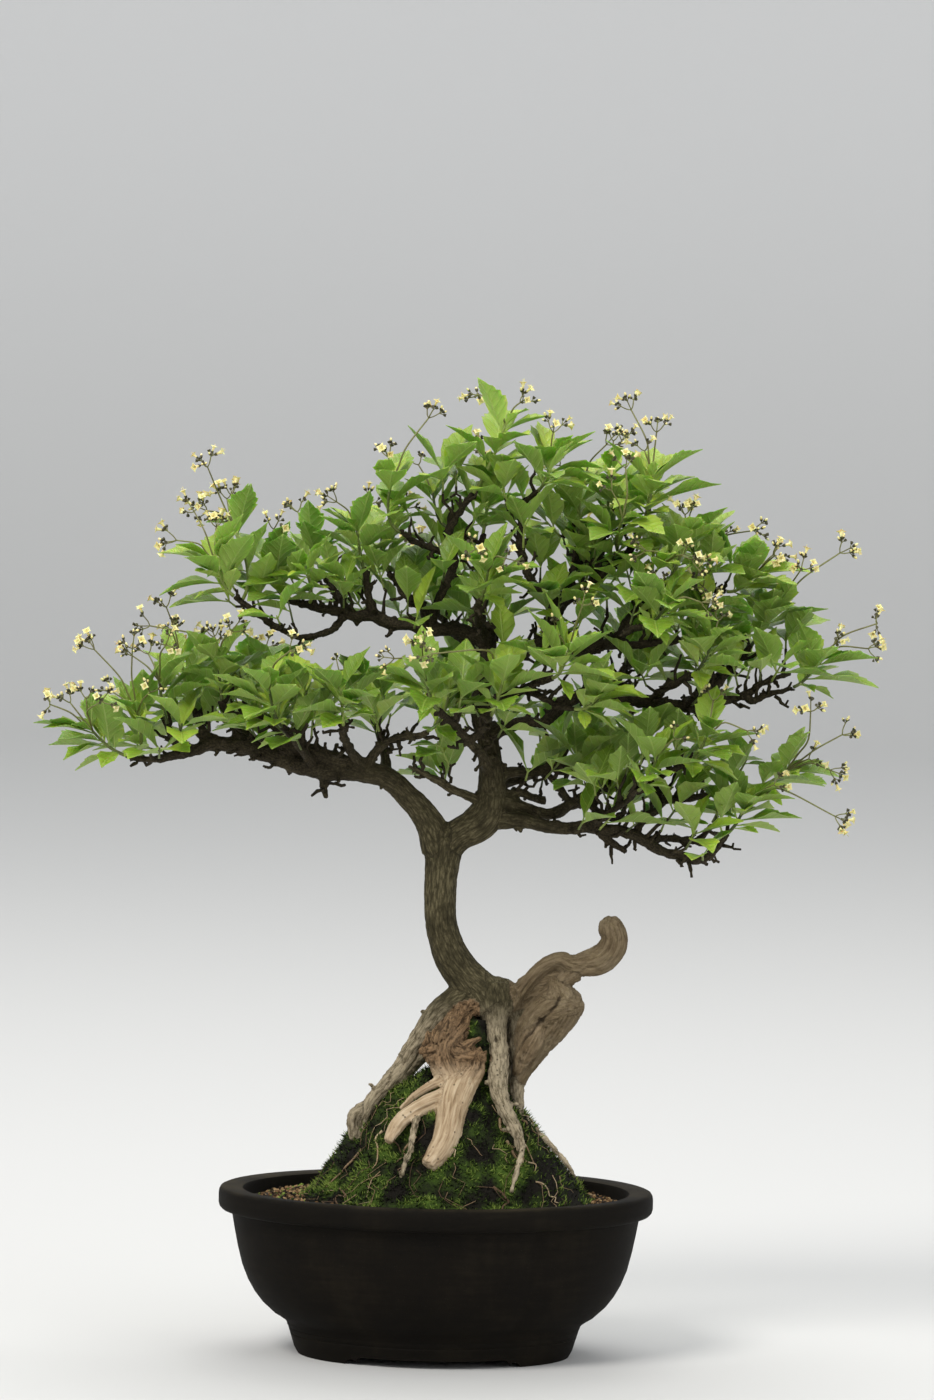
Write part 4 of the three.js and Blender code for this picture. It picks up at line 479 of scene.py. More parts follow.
# For each spray: its wood, the share of that wood where it stands, its tip, its heading in degrees, the
# length of its leaves, its pairs of leaves and the middles of its flower heads
SPRAYS = [
    ("left_limb", 1, (-211, -18, 374), 170, 45, 3, [(-243, -22, 393), (-226, -30, 377)]),
    ("left_limb", 0.92, (-184, -22, 386), 215, 42, 3, [(-214, -30, 429), (-203, -36, 416)]),
    ("left_twig", 1, (-171, -20, 405), 150, 42, 3, [(-189, -26, 433), (-196, -32, 399)]),
    ("left_fork", 1, (-159, 8, 414), 120, 44, 3, [(-171, 4, 455)]),
    ("left_rise", 1, (-136, -22, 416), 215, 44, 3, [(-131, -46, 429), (-166, -44, 416)]),
    ("left_rear", 1, (-152, 58, 402), 130, 42, 3, [(-168, 62, 436)]),
    ("left_back", 1, (-120, 78, 407), 95, 42, 3, []),
    ("left_front", 1, (-104, -60, 403), 250, 44, 3, [(-88, -78, 432)]),
    ("left_front", 0.55, (-112, -36, 391), 190, 40, 2, []),
    ("left_near", 1, (-62, -60, 404), 222, 45, 3, [(-51, -80, 386)]),
    ("left_inner", 1, (2, -48, 399), 280, 42, 3, []),
    ("rear_left", 1, (-52, 64, 403), 80, 42, 3, []),
    ("front_centre", 1, (-12, -74, 414), 262, 44, 3, [(-37, -88, 421), (-24, -92, 422)]),
    ("front_fork", 1, (34, -68, 411), 272, 42, 3, [(-11, -94, 402)]),
    ("front_right", 1, (72, -74, 429), 318, 44, 3, [(64, -84, 448)]),
    ("front_right_fork", 1, (94, -58, 405), 330, 42, 3, []),
    ("front_high", 1, (24, -54, 475), 255, 44, 3, [(33, -80, 480), (3, -78, 468)]),
    ("rear_centre", 1, (8, 90, 415), 75, 42, 3, [(-4, 96, 444)]),
    ("rear_right", 1, (92, 70, 377), 40, 42, 3, []),
    ("rear_high", 1, (-12, 76, 463), 100, 42, 3, [(-22, 84, 492)]),
    ("rear_leader", 1, (88, 70, 482), 60, 42, 3, [(100, 78, 508)]),
    ("rear_far", 1, (124, 82, 437), 70, 42, 3, []),
    ("rear_end", 1, (182, 66, 435), 50, 40, 3, [(204, 74, 462)]),
    ("rise_left", 1, (-55, 1, 496), 145, 40, 3, [(-72, -6, 519), (-66, -4, 501)]),
    ("rise_rear_left", 1, (-84, 58, 487), 110, 40, 3, [(-96, 66, 512)]),
    ("upper_left", 1, (-108, 12, 475), 140, 44, 3, [(-104, 4, 503)]),
    ("upper_left", 0.79, (-84, -10, 469), 250, 38, 3, []),
    ("low_sweep", 1, (-139, -18, 476), 175, 44, 3, [(-166, -22, 487), (-178, -24, 482)]),
    ("low_sweep", 0.82, (-130, 12, 497), 130, 42, 3, [(-152, 4, 507), (-166, 4, 524)]),
    ("cross_left", 1, (-40, 20, 496), 130, 40, 3, []),
    ("apex_left", 1, (-35, -10, 524), 262, 42, 3, [(-38, -16, 548), (-21, -12, 561)]),
    ("apex", 0.62, (-10, 16, 519), 150, 38, 2, []),
    ("apex", 1, (33, -2, 562), 20, 43, 3, [(44, -6, 578), (28, -8, 569)]),
    ("apex_back", 1, (24, 28, 523), 80, 40, 3, [(14, 34, 552)]),
    ("crown_loop", 1, (60, -8, 542), 330, 42, 3, [(62, -12, 563)]),
    ("crown_mid", 1, (79, 18, 524), 60, 42, 3, [(98, 16, 557)]),
    ("crown_back", 1, (98, 42, 531), 88, 40, 3, [(106, 50, 560)]),
    ("crown_right", 1, (121, -4, 531), 10, 46, 3, [(124, -8, 566), (132, -10, 556)]),
    ("crown_right", 0.62, (104, -24, 507), 300, 42, 3, [(108, -30, 537)]),
    ("leader_rise", 1, (141, -12, 494), 320, 42, 3, [(141, -18, 517)]),
    ("leader_rise", 0.5, (128, -34, 481), 262, 40, 3, [(118, -44, 475), (148, -48, 479)]),
    ("leader_fork", 1, (186, 12, 475), 15, 44, 3, [(199, 6, 490), (207, 8, 472)]),
    ("leader_fork", 0.6, (156, 34, 487), 98, 40, 3, [(176, 30, 488)]),
    ("leader_front", 1, (130, -58, 457), 280, 42, 3, [(141, -66, 444)]),
    ("leader_low", 1, (156, -4, 453), 330, 42, 3, [(152, -12, 470)]),
    ("high_right_rise", 1, (197, 20, 451), 60, 44, 3, [(232, 16, 483), (229, 12, 461), (208, 14, 455)]),
    ("high_right_end", 1, (223, 6, 422), 350, 45, 3, [(257, 4, 425), (265, 6, 438)]),
    ("high_right_front", 1, (158, -38, 435), 310, 42, 3, []),
    ("low_right", 1, (181, -24, 339), 352, 40, 3, [(231, -28, 317)]),
    ("low_right_fork", 1, (171, 14, 351), 30, 40, 2, []),
    ("low_right_front", 1, (126, -60, 367), 250, 42, 3, []),
    ("mid_right_front", 1, (156, -46, 381), 290, 44, 3, [(190, -54, 376)]),
    ("mid_right", 1, (207, 6, 357), 10, 46, 3, [(238, 2, 347), (241, 4, 378), (219, 0, 372)]),
]


# Plain geometry


def unit(vector):
    vector = np.asarray(vector, float)
    return vector / math.sqrt(float(vector @ vector))


def full_turn(sides):
    """The angles of points spaced evenly round a circle."""
    return np.arange(sides) * 2 * math.pi / sides


def swung(aside, over, angle):
    """The direction at an angle from one side of a line towards the other."""
    return aside * math.cos(angle) + over * math.sin(angle)


def sides_of(way, guide=(0.36, 0.48, 0.8)):
    """Two directions square to a way and to each other."""
    aside = unit(np.cross(way, guide))
    return aside, np.cross(way, aside)


def ripple(points, size=1.0, shift=0.0):
    """Smooth noise at points, with swellings of about some size."""
    return np.array([noise.noise(Vector(point) / size + Vector((shift, 0, 0))) for point in points])


def in_room(points, margin):
    """Whether points lie inside the whole object's box by a margin."""
    return np.all(points > ROOM_BOX[0] + margin) and np.all(points < ROOM_BOX[1] - margin)


def draws(seed):
    """A seeded draw between -1 and 1."""
    state = seed

    def draw():
        nonlocal state
        state = (state * DRAW_FACTOR + DRAW_TERM) % DRAW_RANGE
        return state / DRAW_RANGE * 2 - 1

    return draw


def fair(route, step):
    """A route as a smooth curve through its points, with a point about every step."""
    points = np.array(route, float)
    ends = np.vstack([2 * points[0] - points[1], points, 2 * points[-1] - points[-2]])
    parts = []
    for before, start, end, after in zip(ends, ends[1:], ends[2:], ends[3:]):
        count = max(1, round(float(np.linalg.norm((end - start)[:3])) / step))
        share = (np.arange(count) / count)[:, None]
        first, second = (end - before) / 2, (after - start) / 2
        cube = 2 * start - 2 * end + first + second
        square = -3 * start + 3 * end - 2 * first - second
        parts.append(((cube * share + square) * share + first) * share + start)
    return np.vstack([*parts, points[-1:]])


def frames(points):
    """Directions along a curve and two square to it at each point, which turn as little as they can."""
    along = np.gradient(points, axis=0)
    along /= np.linalg.norm(along, axis=1)[:, None]
    aside = np.empty_like(along)
    over = np.array([0.31, 0.83, 0.46])
    for i, way in enumerate(along):
        aside[i] = unit(np.cross(way, over))
        over = np.cross(aside[i], way)
    return along, aside, np.cross(aside, along)


def around(points, radii, sides):
    """Rings of points round a curve."""
    _, aside, over = frames(points)
    turn = full_turn(sides)[:, None]
    out = aside[:, None] * np.cos(turn) + over[:, None] * np.sin(turn)
    return points[:, None] + out * np.broadcast_to(radii, len(points))[:, None, None]


def wrapped(rows, sides):
    """Faces between rings that follow each other."""
    ring, side = np.meshgrid(np.arange(rows - 1), np.arange(sides), indexing="ij")
    a = ring * sides + side
    b = ring * sides + (side + 1) % sides
    return np.stack([a, b, b + sides, a + sides], axis=-1).reshape(-1, 4)


class Skin:
    """Points, faces with their finishes, and values that finishes read, gathered for one mesh."""

    def __init__(self):
        self.points = []
        self.faces = []
        self.finishes = []
        self.values = {}
        self.count = 0

    def add(self, points, faces, finish=0, **values):
        points = np.asarray(points, float).reshape(-1, 3)
        for corners in faces:
            self.faces.extend((np.asarray(corners) + self.count).tolist())
        total = sum(len(corners) for corners in faces)
        self.finishes.append(np.broadcast_to(finish, total))
        for name, value in values.items():
            value = np.asarray(value, float)
            shape = (len(points),) if value.ndim == 0 or value.shape == (len(points),) else (len(points), 3)
            self.values.setdefault(name, []).append((self.count, np.broadcast_to(value, shape)))
        self.points.append(points)
        self.count += len(points)

    def tube(self, rings, finish=0, **values):
        """A closed tube from rings of points, with a point over the middle of each end."""
        rows, sides = rings.shape[:2]
        ends = [rings[0].mean(axis=0), rings[-1].mean(axis=0)]
        points = np.vstack([rings.reshape(-1, 3), ends])
        side = np.arange(sides)
        after = (side + 1) % sides
        first = np.stack([after, side, np.full(sides, rows * sides)], axis=1)
        last = np.stack([side, after, np.full(sides, rows * sides + 1)], axis=1)
        last[:, :2] += (rows - 1) * sides
        self.add(points, [wrapped(rows, sides), first, last], finish, **values)

    def rod(self, points, radii, sides, finish=0, **values):
        self.tube(around(np.asarray(points, float), radii, sides), finish, **values)

    def all_points(self):
        return np.vstack(self.points)

    def mesh(self, name, finishes):
        """The mesh in metres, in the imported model's frame."""
        made = bpy.data.meshes.new(name)
        made.from_pydata(self.all_points() * MM + POT_PLACE, [], self.faces)
        for finish in finishes:
            made.materials.append(finish)
        made.polygons.foreach_set("material_index", np.concatenate(self.finishes).astype(np.int32))
        made.shade_smooth()
        for title, parts in self.values.items():
            wide = parts[0][1].ndim == 2
            whole = np.zeros((self.count, 3) if wide else self.count, np.float32)
            for start, part in parts:
                whole[start : start + len(part)] = part
            kind, key = ("FLOAT_VECTOR", "vector") if wide else ("FLOAT", "value")
            made.attributes.new(title, kind, "POINT").data.foreach_set(key, whole.ravel())
        made.update()
        return made


def linked(name, data):
    """A new object in the scene."""
    made = bpy.data.objects.new(name, data)
    bpy.context.scene.collection.objects.link(made)
    return made


def piece(name, mesh, slot, *replaced):
    made = linked(name, mesh)
    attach(made, "root")
    if replaced:
        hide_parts(*replaced)
    return made


# Finishes


class Value:
    """A socket of a material, on which Python's operators add Math nodes."""

    def __init__(self, finish, socket):
        self.finish = finish
        self.socket = socket

    def maths(self, operation, other=0.0):
        return self.finish.node("ShaderNodeMath", {"operation": operation}, {0: self, 1: other})

    def __add__(self, other):
        return self.maths("ADD", other)

    def __sub__(self, other):
        return self.maths("SUBTRACT", other)

    def __mul__(self, other):
        return self.maths("MULTIPLY", other)

    def __truediv__(self, other):
        return self.maths("DIVIDE", other)

    def __rsub__(self, other):
        return self.finish.node("ShaderNodeMath", {"operation": "SUBTRACT"}, {0: other, 1: self})

    __radd__ = __add__
    __rmul__ = __mul__


class Finish:
    """A material, made of nodes, that ends in one Principled shader."""

    def __init__(self, name, roughness, **constants):
        self.material = bpy.data.materials.new(name)
        self.material.use_nodes = True
        self.tree = self.material.node_tree
        self.shader = self.tree.nodes["Principled BSDF"]
        for socket, value in {"Roughness": roughness, **constants}.items():
            self.shader.inputs[socket.replace("_", " ")].default_value = value

    def node(self, kind, settings, sockets, output=0):
        """Adds a node with its settings, then the values or links of its sockets, and gives one output."""
        made = self.tree.nodes.new(kind)
        for key, value in settings.items():
            if key == "stops":
                elements = made.color_ramp.elements
                while len(elements) < len(value):
                    elements.new(0.5)
                for element, (place, colour) in zip(elements, value):
                    element.position = place
                    element.color = (*colour, 1)
            else:
                setattr(made, key, value)
        for key, value in sockets.items():
            if isinstance(value, Value):
                self.tree.links.new(value.socket, made.inputs[key])
            else:
                made.inputs[key].default_value = value
        return Value(self, made.outputs[output])

    def feed(self, socket, value):
        self.tree.links.new(value.socket, self.shader.inputs[socket])

    def place(self):
        return self.node("ShaderNodeTexCoord", {}, {}, "Object")

    def value(self, name):
        """A value that the mesh holds at each point."""
        return self.node("ShaderNodeAttribute", {"attribute_name": name}, {}, "Fac")

    def vector(self, name):
        return self.node("ShaderNodeAttribute", {"attribute_name": name}, {}, "Vector")

    def part(self, vector, axis):
        return self.node("ShaderNodeSeparateXYZ", {}, {0: vector}, axis)

    def scaled(self, vector, scale):
        return self.node("ShaderNodeVectorMath", {"operation": "MULTIPLY"}, {0: vector, 1: scale})

    def noise(self, vector, scale, detail=3.0, roughness=0.55):
        sockets = {"Vector": vector, "Scale": scale, "Detail": detail, "Roughness": roughness}
        return self.node("ShaderNodeTexNoise", {}, sockets)

    def cells(self, vector, scale, feature="F1"):
        sockets = {"Vector": vector, "Scale": scale}
        return self.node("ShaderNodeTexVoronoi", {"feature": feature}, sockets, "Distance")

    def ramp(self, value, *stops):
        """Colours, each given as it looks on a screen, along a value."""
        stops = [(place, tone(*colour)) for place, colour in stops]
        return self.node("ShaderNodeValToRGB", {"stops": stops}, {"Fac": value})

    def rise(self, value, low, high):
        """0 where a value is under low, 1 where it is over high, and smooth between."""
        sockets = {"Value": value, "From Min": low, "From Max": high}
        return self.node("ShaderNodeMapRange", {"interpolation_type": "SMOOTHSTEP"}, sockets)

    def mix(self, share, one, other):
        """One colour turning into another. A plain one is given as it looks on a screen."""
        sockets = {0: share, 6: one, 7: other}
        sockets = {k: (*tone(*v), 1) if isinstance(v, tuple) else v for k, v in sockets.items()}
        return self.node("ShaderNodeMix", {"data_type": "RGBA"}, sockets, 2)

    def bump(self, height, depth):
        """Relief from a height between 0 and 1, of some depth in mm."""
        self.feed("Normal", self.node("ShaderNodeBump", {}, {"Height": height, "Distance": depth * MM}))


def tone(red, green, blue):
    """A colour given as it looks on a screen, from 0 to 255, as light."""
    return tuple(((part / 255 + 0.055) / 1.055) ** 2.4 for part in (red, green, blue))


def bark_finish():
    """Fissured grey-brown bark, dark rough branches, paler roots and bare wood with its cracks, and painted
    shade in the clefts, hollows and furrows.
    """
    f = Finish("bark", 0.82, Specular_IOR_Level=0.14)
    grain, place = f.vector("grain"), f.place()
    bare, dark, pale, torn = f.value("bare"), f.value("dark"), f.value("pale"), f.value("torn")
    fissures = f.noise(f.scaled(grain, (1.5, 1.5, 0.3)), 1.0, 5.0, 0.62)
    flakes = 1 - f.cells(f.scaled(grain, (0.62, 0.62, 0.16)), 1.0)
    crumb = f.noise(place, 900.0, 3.0)
    patches = f.noise(place, 55.0, 2.0)
    relief = fissures * 0.7 + flakes * 0.35 + crumb * 0.2
    trunk = f.ramp(
        relief + patches * 0.35,
        (0.52, (34, 30, 18)), (0.68, (52, 47, 31)), (0.82, (68, 62, 43)), (0.98, (100, 92, 68)),
    )
    branch = f.ramp(
        crumb * 0.55 + fissures * 0.4 + patches * 0.25,
        (0.38, (22, 19, 13)), (0.56, (42, 37, 26)), (0.7, (64, 57, 42)), (0.88, (98, 90, 70)),
    )
    lines = f.noise(f.scaled(grain, (0.62, 0.62, 0.035)), 1.0, 4.0, 0.6)
    old = f.ramp(
        lines * 0.75 + patches * 0.4,
        (0.36, (100, 80, 58)), (0.48, (150, 127, 98)), (0.62, (184, 162, 132)), (0.82, (208, 190, 162)),
    )
    ragged = f.ramp(
        lines * 0.8 + crumb * 0.35, (0.4, (36, 26, 16)), (0.52, (80, 60, 39)), (0.66, (124, 95, 65))
    )
    stains = f.rise(f.noise(place, 38.0, 3.0), 0.54, 0.7) * 0.4
    old = f.mix((torn * 0.85).maths("MAXIMUM", stains), old, ragged)
    root = f.ramp(
        relief + patches * 0.4, (0.54, (54, 46, 34)), (0.69, (110, 99, 78)), (0.9, (174, 160, 134))
    )
    living = f.mix(pale, f.mix(dark, trunk, branch), root)
    # Painted shade where the wood is sunk into clefts, hollows and furrows, together with dark pits in the
    # roots and bare wood.
    hollow = 1 - f.rise(f.value("height"), -2.2, -0.5)
    pits = (1 - f.rise(f.cells(place, 230.0), 0.09, 0.2)) * f.rise(patches, 0.44, 0.54)
    painted_shade_and_pits = (hollow * 0.7).maths("MAXIMUM", pits * (pale * 0.9 + bare * 0.7))
    # The painted shade and the pits take a dark brown.
    f.feed("Base Color", f.mix(painted_shade_and_pits, f.mix(bare, living, old), (36, 28, 19)))
    f.feed("Roughness", 0.95 - relief * 0.2)
    f.bump(relief * (1 - bare * 0.6) + lines * bare * 0.7, 1.1)
    return f.material


def leaf_finish(name, deep, middle, bright, vein, roughness):
    """A blade with its midrib, side veins and the fine net between them."""
    f = Finish(name, roughness, Specular_IOR_Level=0.46, Subsurface_Weight=0.3, Subsurface_Scale=0.0015)
    f.shader.inputs["Subsurface Radius"].default_value = (0.35, 1.0, 0.12)
    blade = f.vector("blade")
    across = f.part(blade, 0).maths("ABSOLUTE")
    along = f.part(blade, 1)
    step = ((along - across * 0.75) / 5.2).maths("FRACT")
    off = 0.5 - (step - 0.5).maths("ABSOLUTE")
    midrib = 1 - f.rise(across, 0.2, 0.8)
    side = 1 - f.rise(off, 0.02, 0.09)
    net = 1 - f.rise(f.cells(blade, 0.75, "DISTANCE_TO_EDGE"), 0.01, 0.1)
    veins = midrib.maths("MAXIMUM", side * 0.7)
    # tint carries each leaf's own tone and, on the higher sprays, painted light from above.
    shade = f.value("tint") + f.noise(f.place(), 60.0, 2.0) * 0.35 - 0.17
    colour = f.ramp(shade, (0.0, deep), (0.5, middle), (1.0, bright))
    f.feed("Base Color", f.mix(veins * 0.5 + net * 0.08, colour, vein))
    f.feed("Roughness", f.noise(f.place(), 140.0, 2.0) * 0.2 + (roughness - 0.1))
    f.bump(1 - veins * 0.75 - net * 0.2 + off * 0.8, 0.5)
    return f.material


def speckled_finish(name, roughness, scale, spots, *stops, relief=0.3, shift=None, **constants):
    """A plain living or earthen surface in several tones, with a fine grain."""
    f = Finish(name, roughness, **constants)
    grain = f.noise(f.place(), scale, 4.0, 0.65)
    shade = grain * (1 - spots) + f.noise(f.place(), scale / 7, 3.0) * spots
    if shift:
        shade = shade + f.value(shift) - 0.5
    f.feed("Base Color", f.ramp(shade, *stops))
    f.feed("Roughness", grain * 0.3 + (roughness - 0.15))
    f.bump(grain, relief)
    return f.material


def stoneware_finish():
    """Unglazed dark clay: fine grit, faint bands from the shaping, and a pale bloom on what faces up, partly
    dust and partly painted light from above.
    """
    f = Finish("stoneware", 0.66, Specular_IOR_Level=0.08)
    place = f.place()
    grit = f.noise(place, 1500.0, 4.0, 0.7)
    clouds = f.noise(place, 26.0, 4.0, 0.6)
    bands = f.noise(f.scaled(place, (1.0, 1.0, 9.0)), 38.0, 3.0)
    streaks = f.noise(f.scaled(place, (7.0, 7.0, 0.7)), 22.0, 4.0)
    shade = clouds * 0.5 + bands * 0.2 + grit * 0.2 + streaks * 0.15
    colour = f.ramp(
        shade, (0.36, (11, 9, 6)), (0.54, (18, 15, 10)), (0.68, (28, 24, 17)), (0.8, (46, 40, 29))
    )
    facing = f.part(f.node("ShaderNodeNewGeometry", {}, {}, "Normal"), 2)
    # Faces that turn up are mixed towards a pale tone: partly dust, partly painted light from above.
    dust_and_top_light = f.rise(facing, 0.35, 0.95) * f.rise(clouds, 0.3, 0.7) * 0.55
    spots = f.rise(f.cells(place, 330.0), 0.0, 0.11)
    colour = f.mix(dust_and_top_light, colour, (62, 55, 41))
    f.feed("Base Color", f.mix(0.2 - spots * 0.2, colour, (84, 76, 62)))
    f.feed("Roughness", 0.56 + clouds * 0.2 + grit * 0.12)
    f.bump(grit * 0.6 + bands * 0.4, 0.22)
    return f.material


BARK = bark_finish()
LEAF = leaf_finish("leaf", (60, 84, 15), (116, 146, 33), (172, 194, 62), (172, 196, 92), 0.4)
LEAF_BACK = leaf_finish("leaf_back", (98, 122, 50), (132, 158, 68), (164, 186, 90), (182, 200, 116), 0.6)
SHOOT = speckled_finish(
    "shoot", 0.55, 300.0, 0.5, (0.3, (64, 74, 34)), (0.5, (104, 116, 54)), (0.75, (140, 156, 74)),
    shift="tint",
)
STALK = speckled_finish(
    "stalk", 0.6, 400.0, 0.5, (0.3, (78, 70, 40)), (0.5, (112, 110, 62)), (0.75, (138, 146, 84))
)
CALYX = speckled_finish(
    "calyx", 0.6, 700.0, 0.4, (0.3, (38, 34, 22)), (0.5, (66, 62, 36)), (0.75, (100, 102, 54))
)
PETAL = speckled_finish(
    "petal", 0.5, 500.0, 0.4, (0.3, (206, 190, 104)), (0.5, (230, 220, 152)), (0.75, (244, 238, 194)),
    Subsurface_Weight=0.2, Subsurface_Scale=0.001,
)
MOSS = speckled_finish(
    "moss", 0.9, 420.0, 0.6,
    (0.22, (20, 17, 11)), (0.36, (34, 44, 15)), (0.54, (64, 86, 26)), (0.74, (122, 140, 62)),
    relief=1.2, shift="tint", Specular_IOR_Level=0.2,
)
EARTH = speckled_finish(
    "earth", 0.92, 600.0, 0.5,
    (0.25, (34, 26, 16)), (0.42, (74, 55, 34)), (0.58, (116, 86, 54)), (0.8, (158, 130, 92)),
    relief=0.8, shift="tint", Specular_IOR_Level=0.25,
)
FIBRE = speckled_finish(
    "fibre", 0.8, 260.0, 0.6,
    (0.25, (88, 66, 44)), (0.5, (150, 124, 92)), (0.75, (206, 186, 152)), shift="tint",
)
STONEWARE = stoneware_finish()
PLASTIC = speckled_finish(
    "black_plastic", 0.5, 900.0, 0.3, (0.3, (18, 18, 18)), (0.7, (34, 34, 33)), relief=0.1
)


# Pot and screens


def oval(half_length, segments=POT_SEGMENTS):
    """The pot's outline: an oval with a crease where each end lobe meets a side lobe."""
    angle = full_turn(segments)
    from_end = np.abs(np.arctan2(np.sin(angle), np.cos(angle)))
    to_axis = np.minimum(from_end, math.pi - from_end)
    end_share = to_axis / CREASE_ANGLE
    side_share = (math.pi / 2 - to_axis) / (math.pi / 2 - CREASE_ANGLE)
    share = np.where(to_axis < CREASE_ANGLE, end_share, side_share)
    reach = half_length * (1 - CREASE_DIP * share**4)
    return np.stack([reach * np.cos(angle), reach * DEPTH_RATIO * np.sin(angle)], axis=1)


def oval_ring(half_length, height, segments=POT_SEGMENTS):
    return np.column_stack([oval(half_length, segments), np.full(segments, height)])


def arch_outline(half_length):
    """The opening between two feet: a level top that ends in a small cusp and a scallop at each side."""
    side = fair(ARCH_CURVE, 0.8)
    left = side - (half_length, 0)
    right = left[::-1] * (-1, 1)
    return np.vstack([[(-half_length, -1)], left, right, [(half_length, -1)]])


def prism(outline, reach, turned):
    """A bar with a flat outline, from front to back, or from side to side if turned."""
    made = Skin()
    count = len(outline)
    ends = [np.insert(outline, 1, y, axis=1) for y in (-reach, reach)]
    if turned:
        ends = [end[:, [1, 0, 2]] for end in ends]
    made.add(np.vstack(ends), [wrapped(2, count), [range(count - 1, -1, -1)], [range(count, 2 * count)]])
    return made


def bare_object(name, skin):
    mesh = bpy.data.meshes.new(name)
    mesh.from_pydata(skin.all_points(), [], skin.faces)
    return linked(name, mesh)


def worked(holder, *helpers):
    """An object's mesh with its modifiers applied. The object and its helpers are then gone."""
    graph = bpy.context.evaluated_depsgraph_get()
    mesh = bpy.data.meshes.new_from_object(holder.evaluated_get(graph))
    for spent in (holder, *helpers):
        bpy.data.objects.remove(spent)
    return mesh


def build_pot():
    """The fired pot: its wall, cut by the hollow in its foot, the arches between its feet and the drains."""
    body = Skin()
    body.tube(np.array([oval_ring(*wall) for wall in [*POT_OUTSIDE, *POT_INSIDE]]))
    hollow = Skin()
    hollow.tube(np.array([oval_ring(FOOT_INSIDE, z, FOOT_SEGMENTS) for z in (-1, FLOOR_UNDERSIDE)]))
    cutters = [bare_object("foot_hollow", hollow)]
    cutters.append(bare_object("long_arch", prism(arch_outline(LONG_ARCH), 100, False)))
    cutters.append(bare_object("end_arch", prism(arch_outline(END_ARCH), 130, True)))
    turn = full_turn(DRAIN_SEGMENTS)
    circle = DRAIN_RADIUS * np.column_stack([np.cos(turn), np.sin(turn)])
    for side in (-1, 1):
        drain = Skin()
        ring = circle + (side * DRAIN_PLACE, 0)
        drain.tube(np.array([np.insert(ring, 2, z, axis=1) for z in (-5, 20)]))
        cutters.append(bare_object("drain", drain))
    holder = bare_object("pot_body", body)
    for cutter in cutters:
        cut = holder.modifiers.new("cut", "BOOLEAN")
        cut.operation = "DIFFERENCE"
        cut.solver = "EXACT"
        cut.object = cutter
    mesh = worked(holder, *cutters)
    mesh.transform(Matrix.Translation(POT_PLACE) @ Matrix.Scale(MM, 4))
    mesh.materials.clear()
    mesh.materials.append(STONEWARE)
    mesh.shade_smooth()
    edges = piece("pot_fired", mesh, "stoneware", "pot").modifiers.new("edges", "EDGE_SPLIT")
    edges.split_angle = math.radians(POT_EDGE)


# Soil and moss


def soil_height(x, y):
    """The soil's top at a place: level under the mound, and a little lower at the wall."""
    out = math.hypot(x, y / DEPTH_RATIO) / SOIL_REACH
    return SOIL_TOP - SOIL_DIP * max(0.0, out - SOIL_LEVEL) / (1 - SOIL_LEVEL)


def grain_shape():
    """The corners and faces of a pebble before it is made rough: a solid of twenty equal triangles."""
    gold = (1 + math.sqrt(5)) / 2
    flat = [(a, b) for b in (gold, -gold) for a in (-1, 1)]
    corners = [(a, b, 0) for a, b in flat] + [(0, a, b) for a, b in flat] + [(b, 0, a) for a, b in flat]
    corners = np.array(corners)
    faces = []
    for face in itertools.combinations(range(len(corners)), 3):
        a, b, c = corners[list(face)]
        if max(math.dist(a, b), math.dist(b, c), math.dist(c, a)) < 2.1:
            faces.append(face if np.cross(b - a, c - a) @ a > 0 else face[::-1])
    return corners / math.sqrt(1 + gold * gold), faces


def build_grains(rng):
    """Grit that lies over the soil wherever the mound leaves it bare."""
    skin = Skin()
    corners, faces = grain_shape()
    wide, deep = GRAIN_FIELD
    while skin.count < GRAINS * len(corners):
        x, y = rng.uniform(-wide, wide), rng.uniform(-deep, deep)
        across = (x - MOUND_CENTRE[0]) / MOUND_HALF_LENGTH
        back = (y - MOUND_CENTRE[1]) / MOUND_HALF_DEPTH
        if math.hypot(x, y / DEPTH_RATIO) > GRAIN_REACH or math.hypot(across, back) < BARE_FROM:
            continue
        size = rng.uniform(0.7, 1.9) * rng.uniform(0.75, 1, 3)
        turned = np.linalg.qr(rng.normal(size=(3, 3)))[0]
        rough = corners * rng.uniform(0.75, 1.1, (len(corners), 1))
        middle = (x, y, soil_height(x, y) + size.min() * rng.uniform(0.1, 0.9))
        finish = rng.choice(2, p=(0.8, 0.2))
        skin.add(rough * size @ turned + middle, [faces], finish, tint=rng.uniform(0.15, 0.9))
    mesh = skin.mesh("soil_grit", [EARTH, MOSS])
    mesh.shade_flat()
    piece("soil_grit", mesh, "soil")


def mound_rise(share, angle):
    """How high the mound stands at a place, with its low cushions."""
    slope = np.maximum(1 - share * share, 0) ** 1.2 + 0.1 * (1 - share)
    cushions = 2.4 * np.sin(5 * angle + 6 * share) + 1.8 * np.sin(9 * angle - 11 * share)
    return MOUND_HEIGHT * slope + cushions * share * (1 - share) * 4


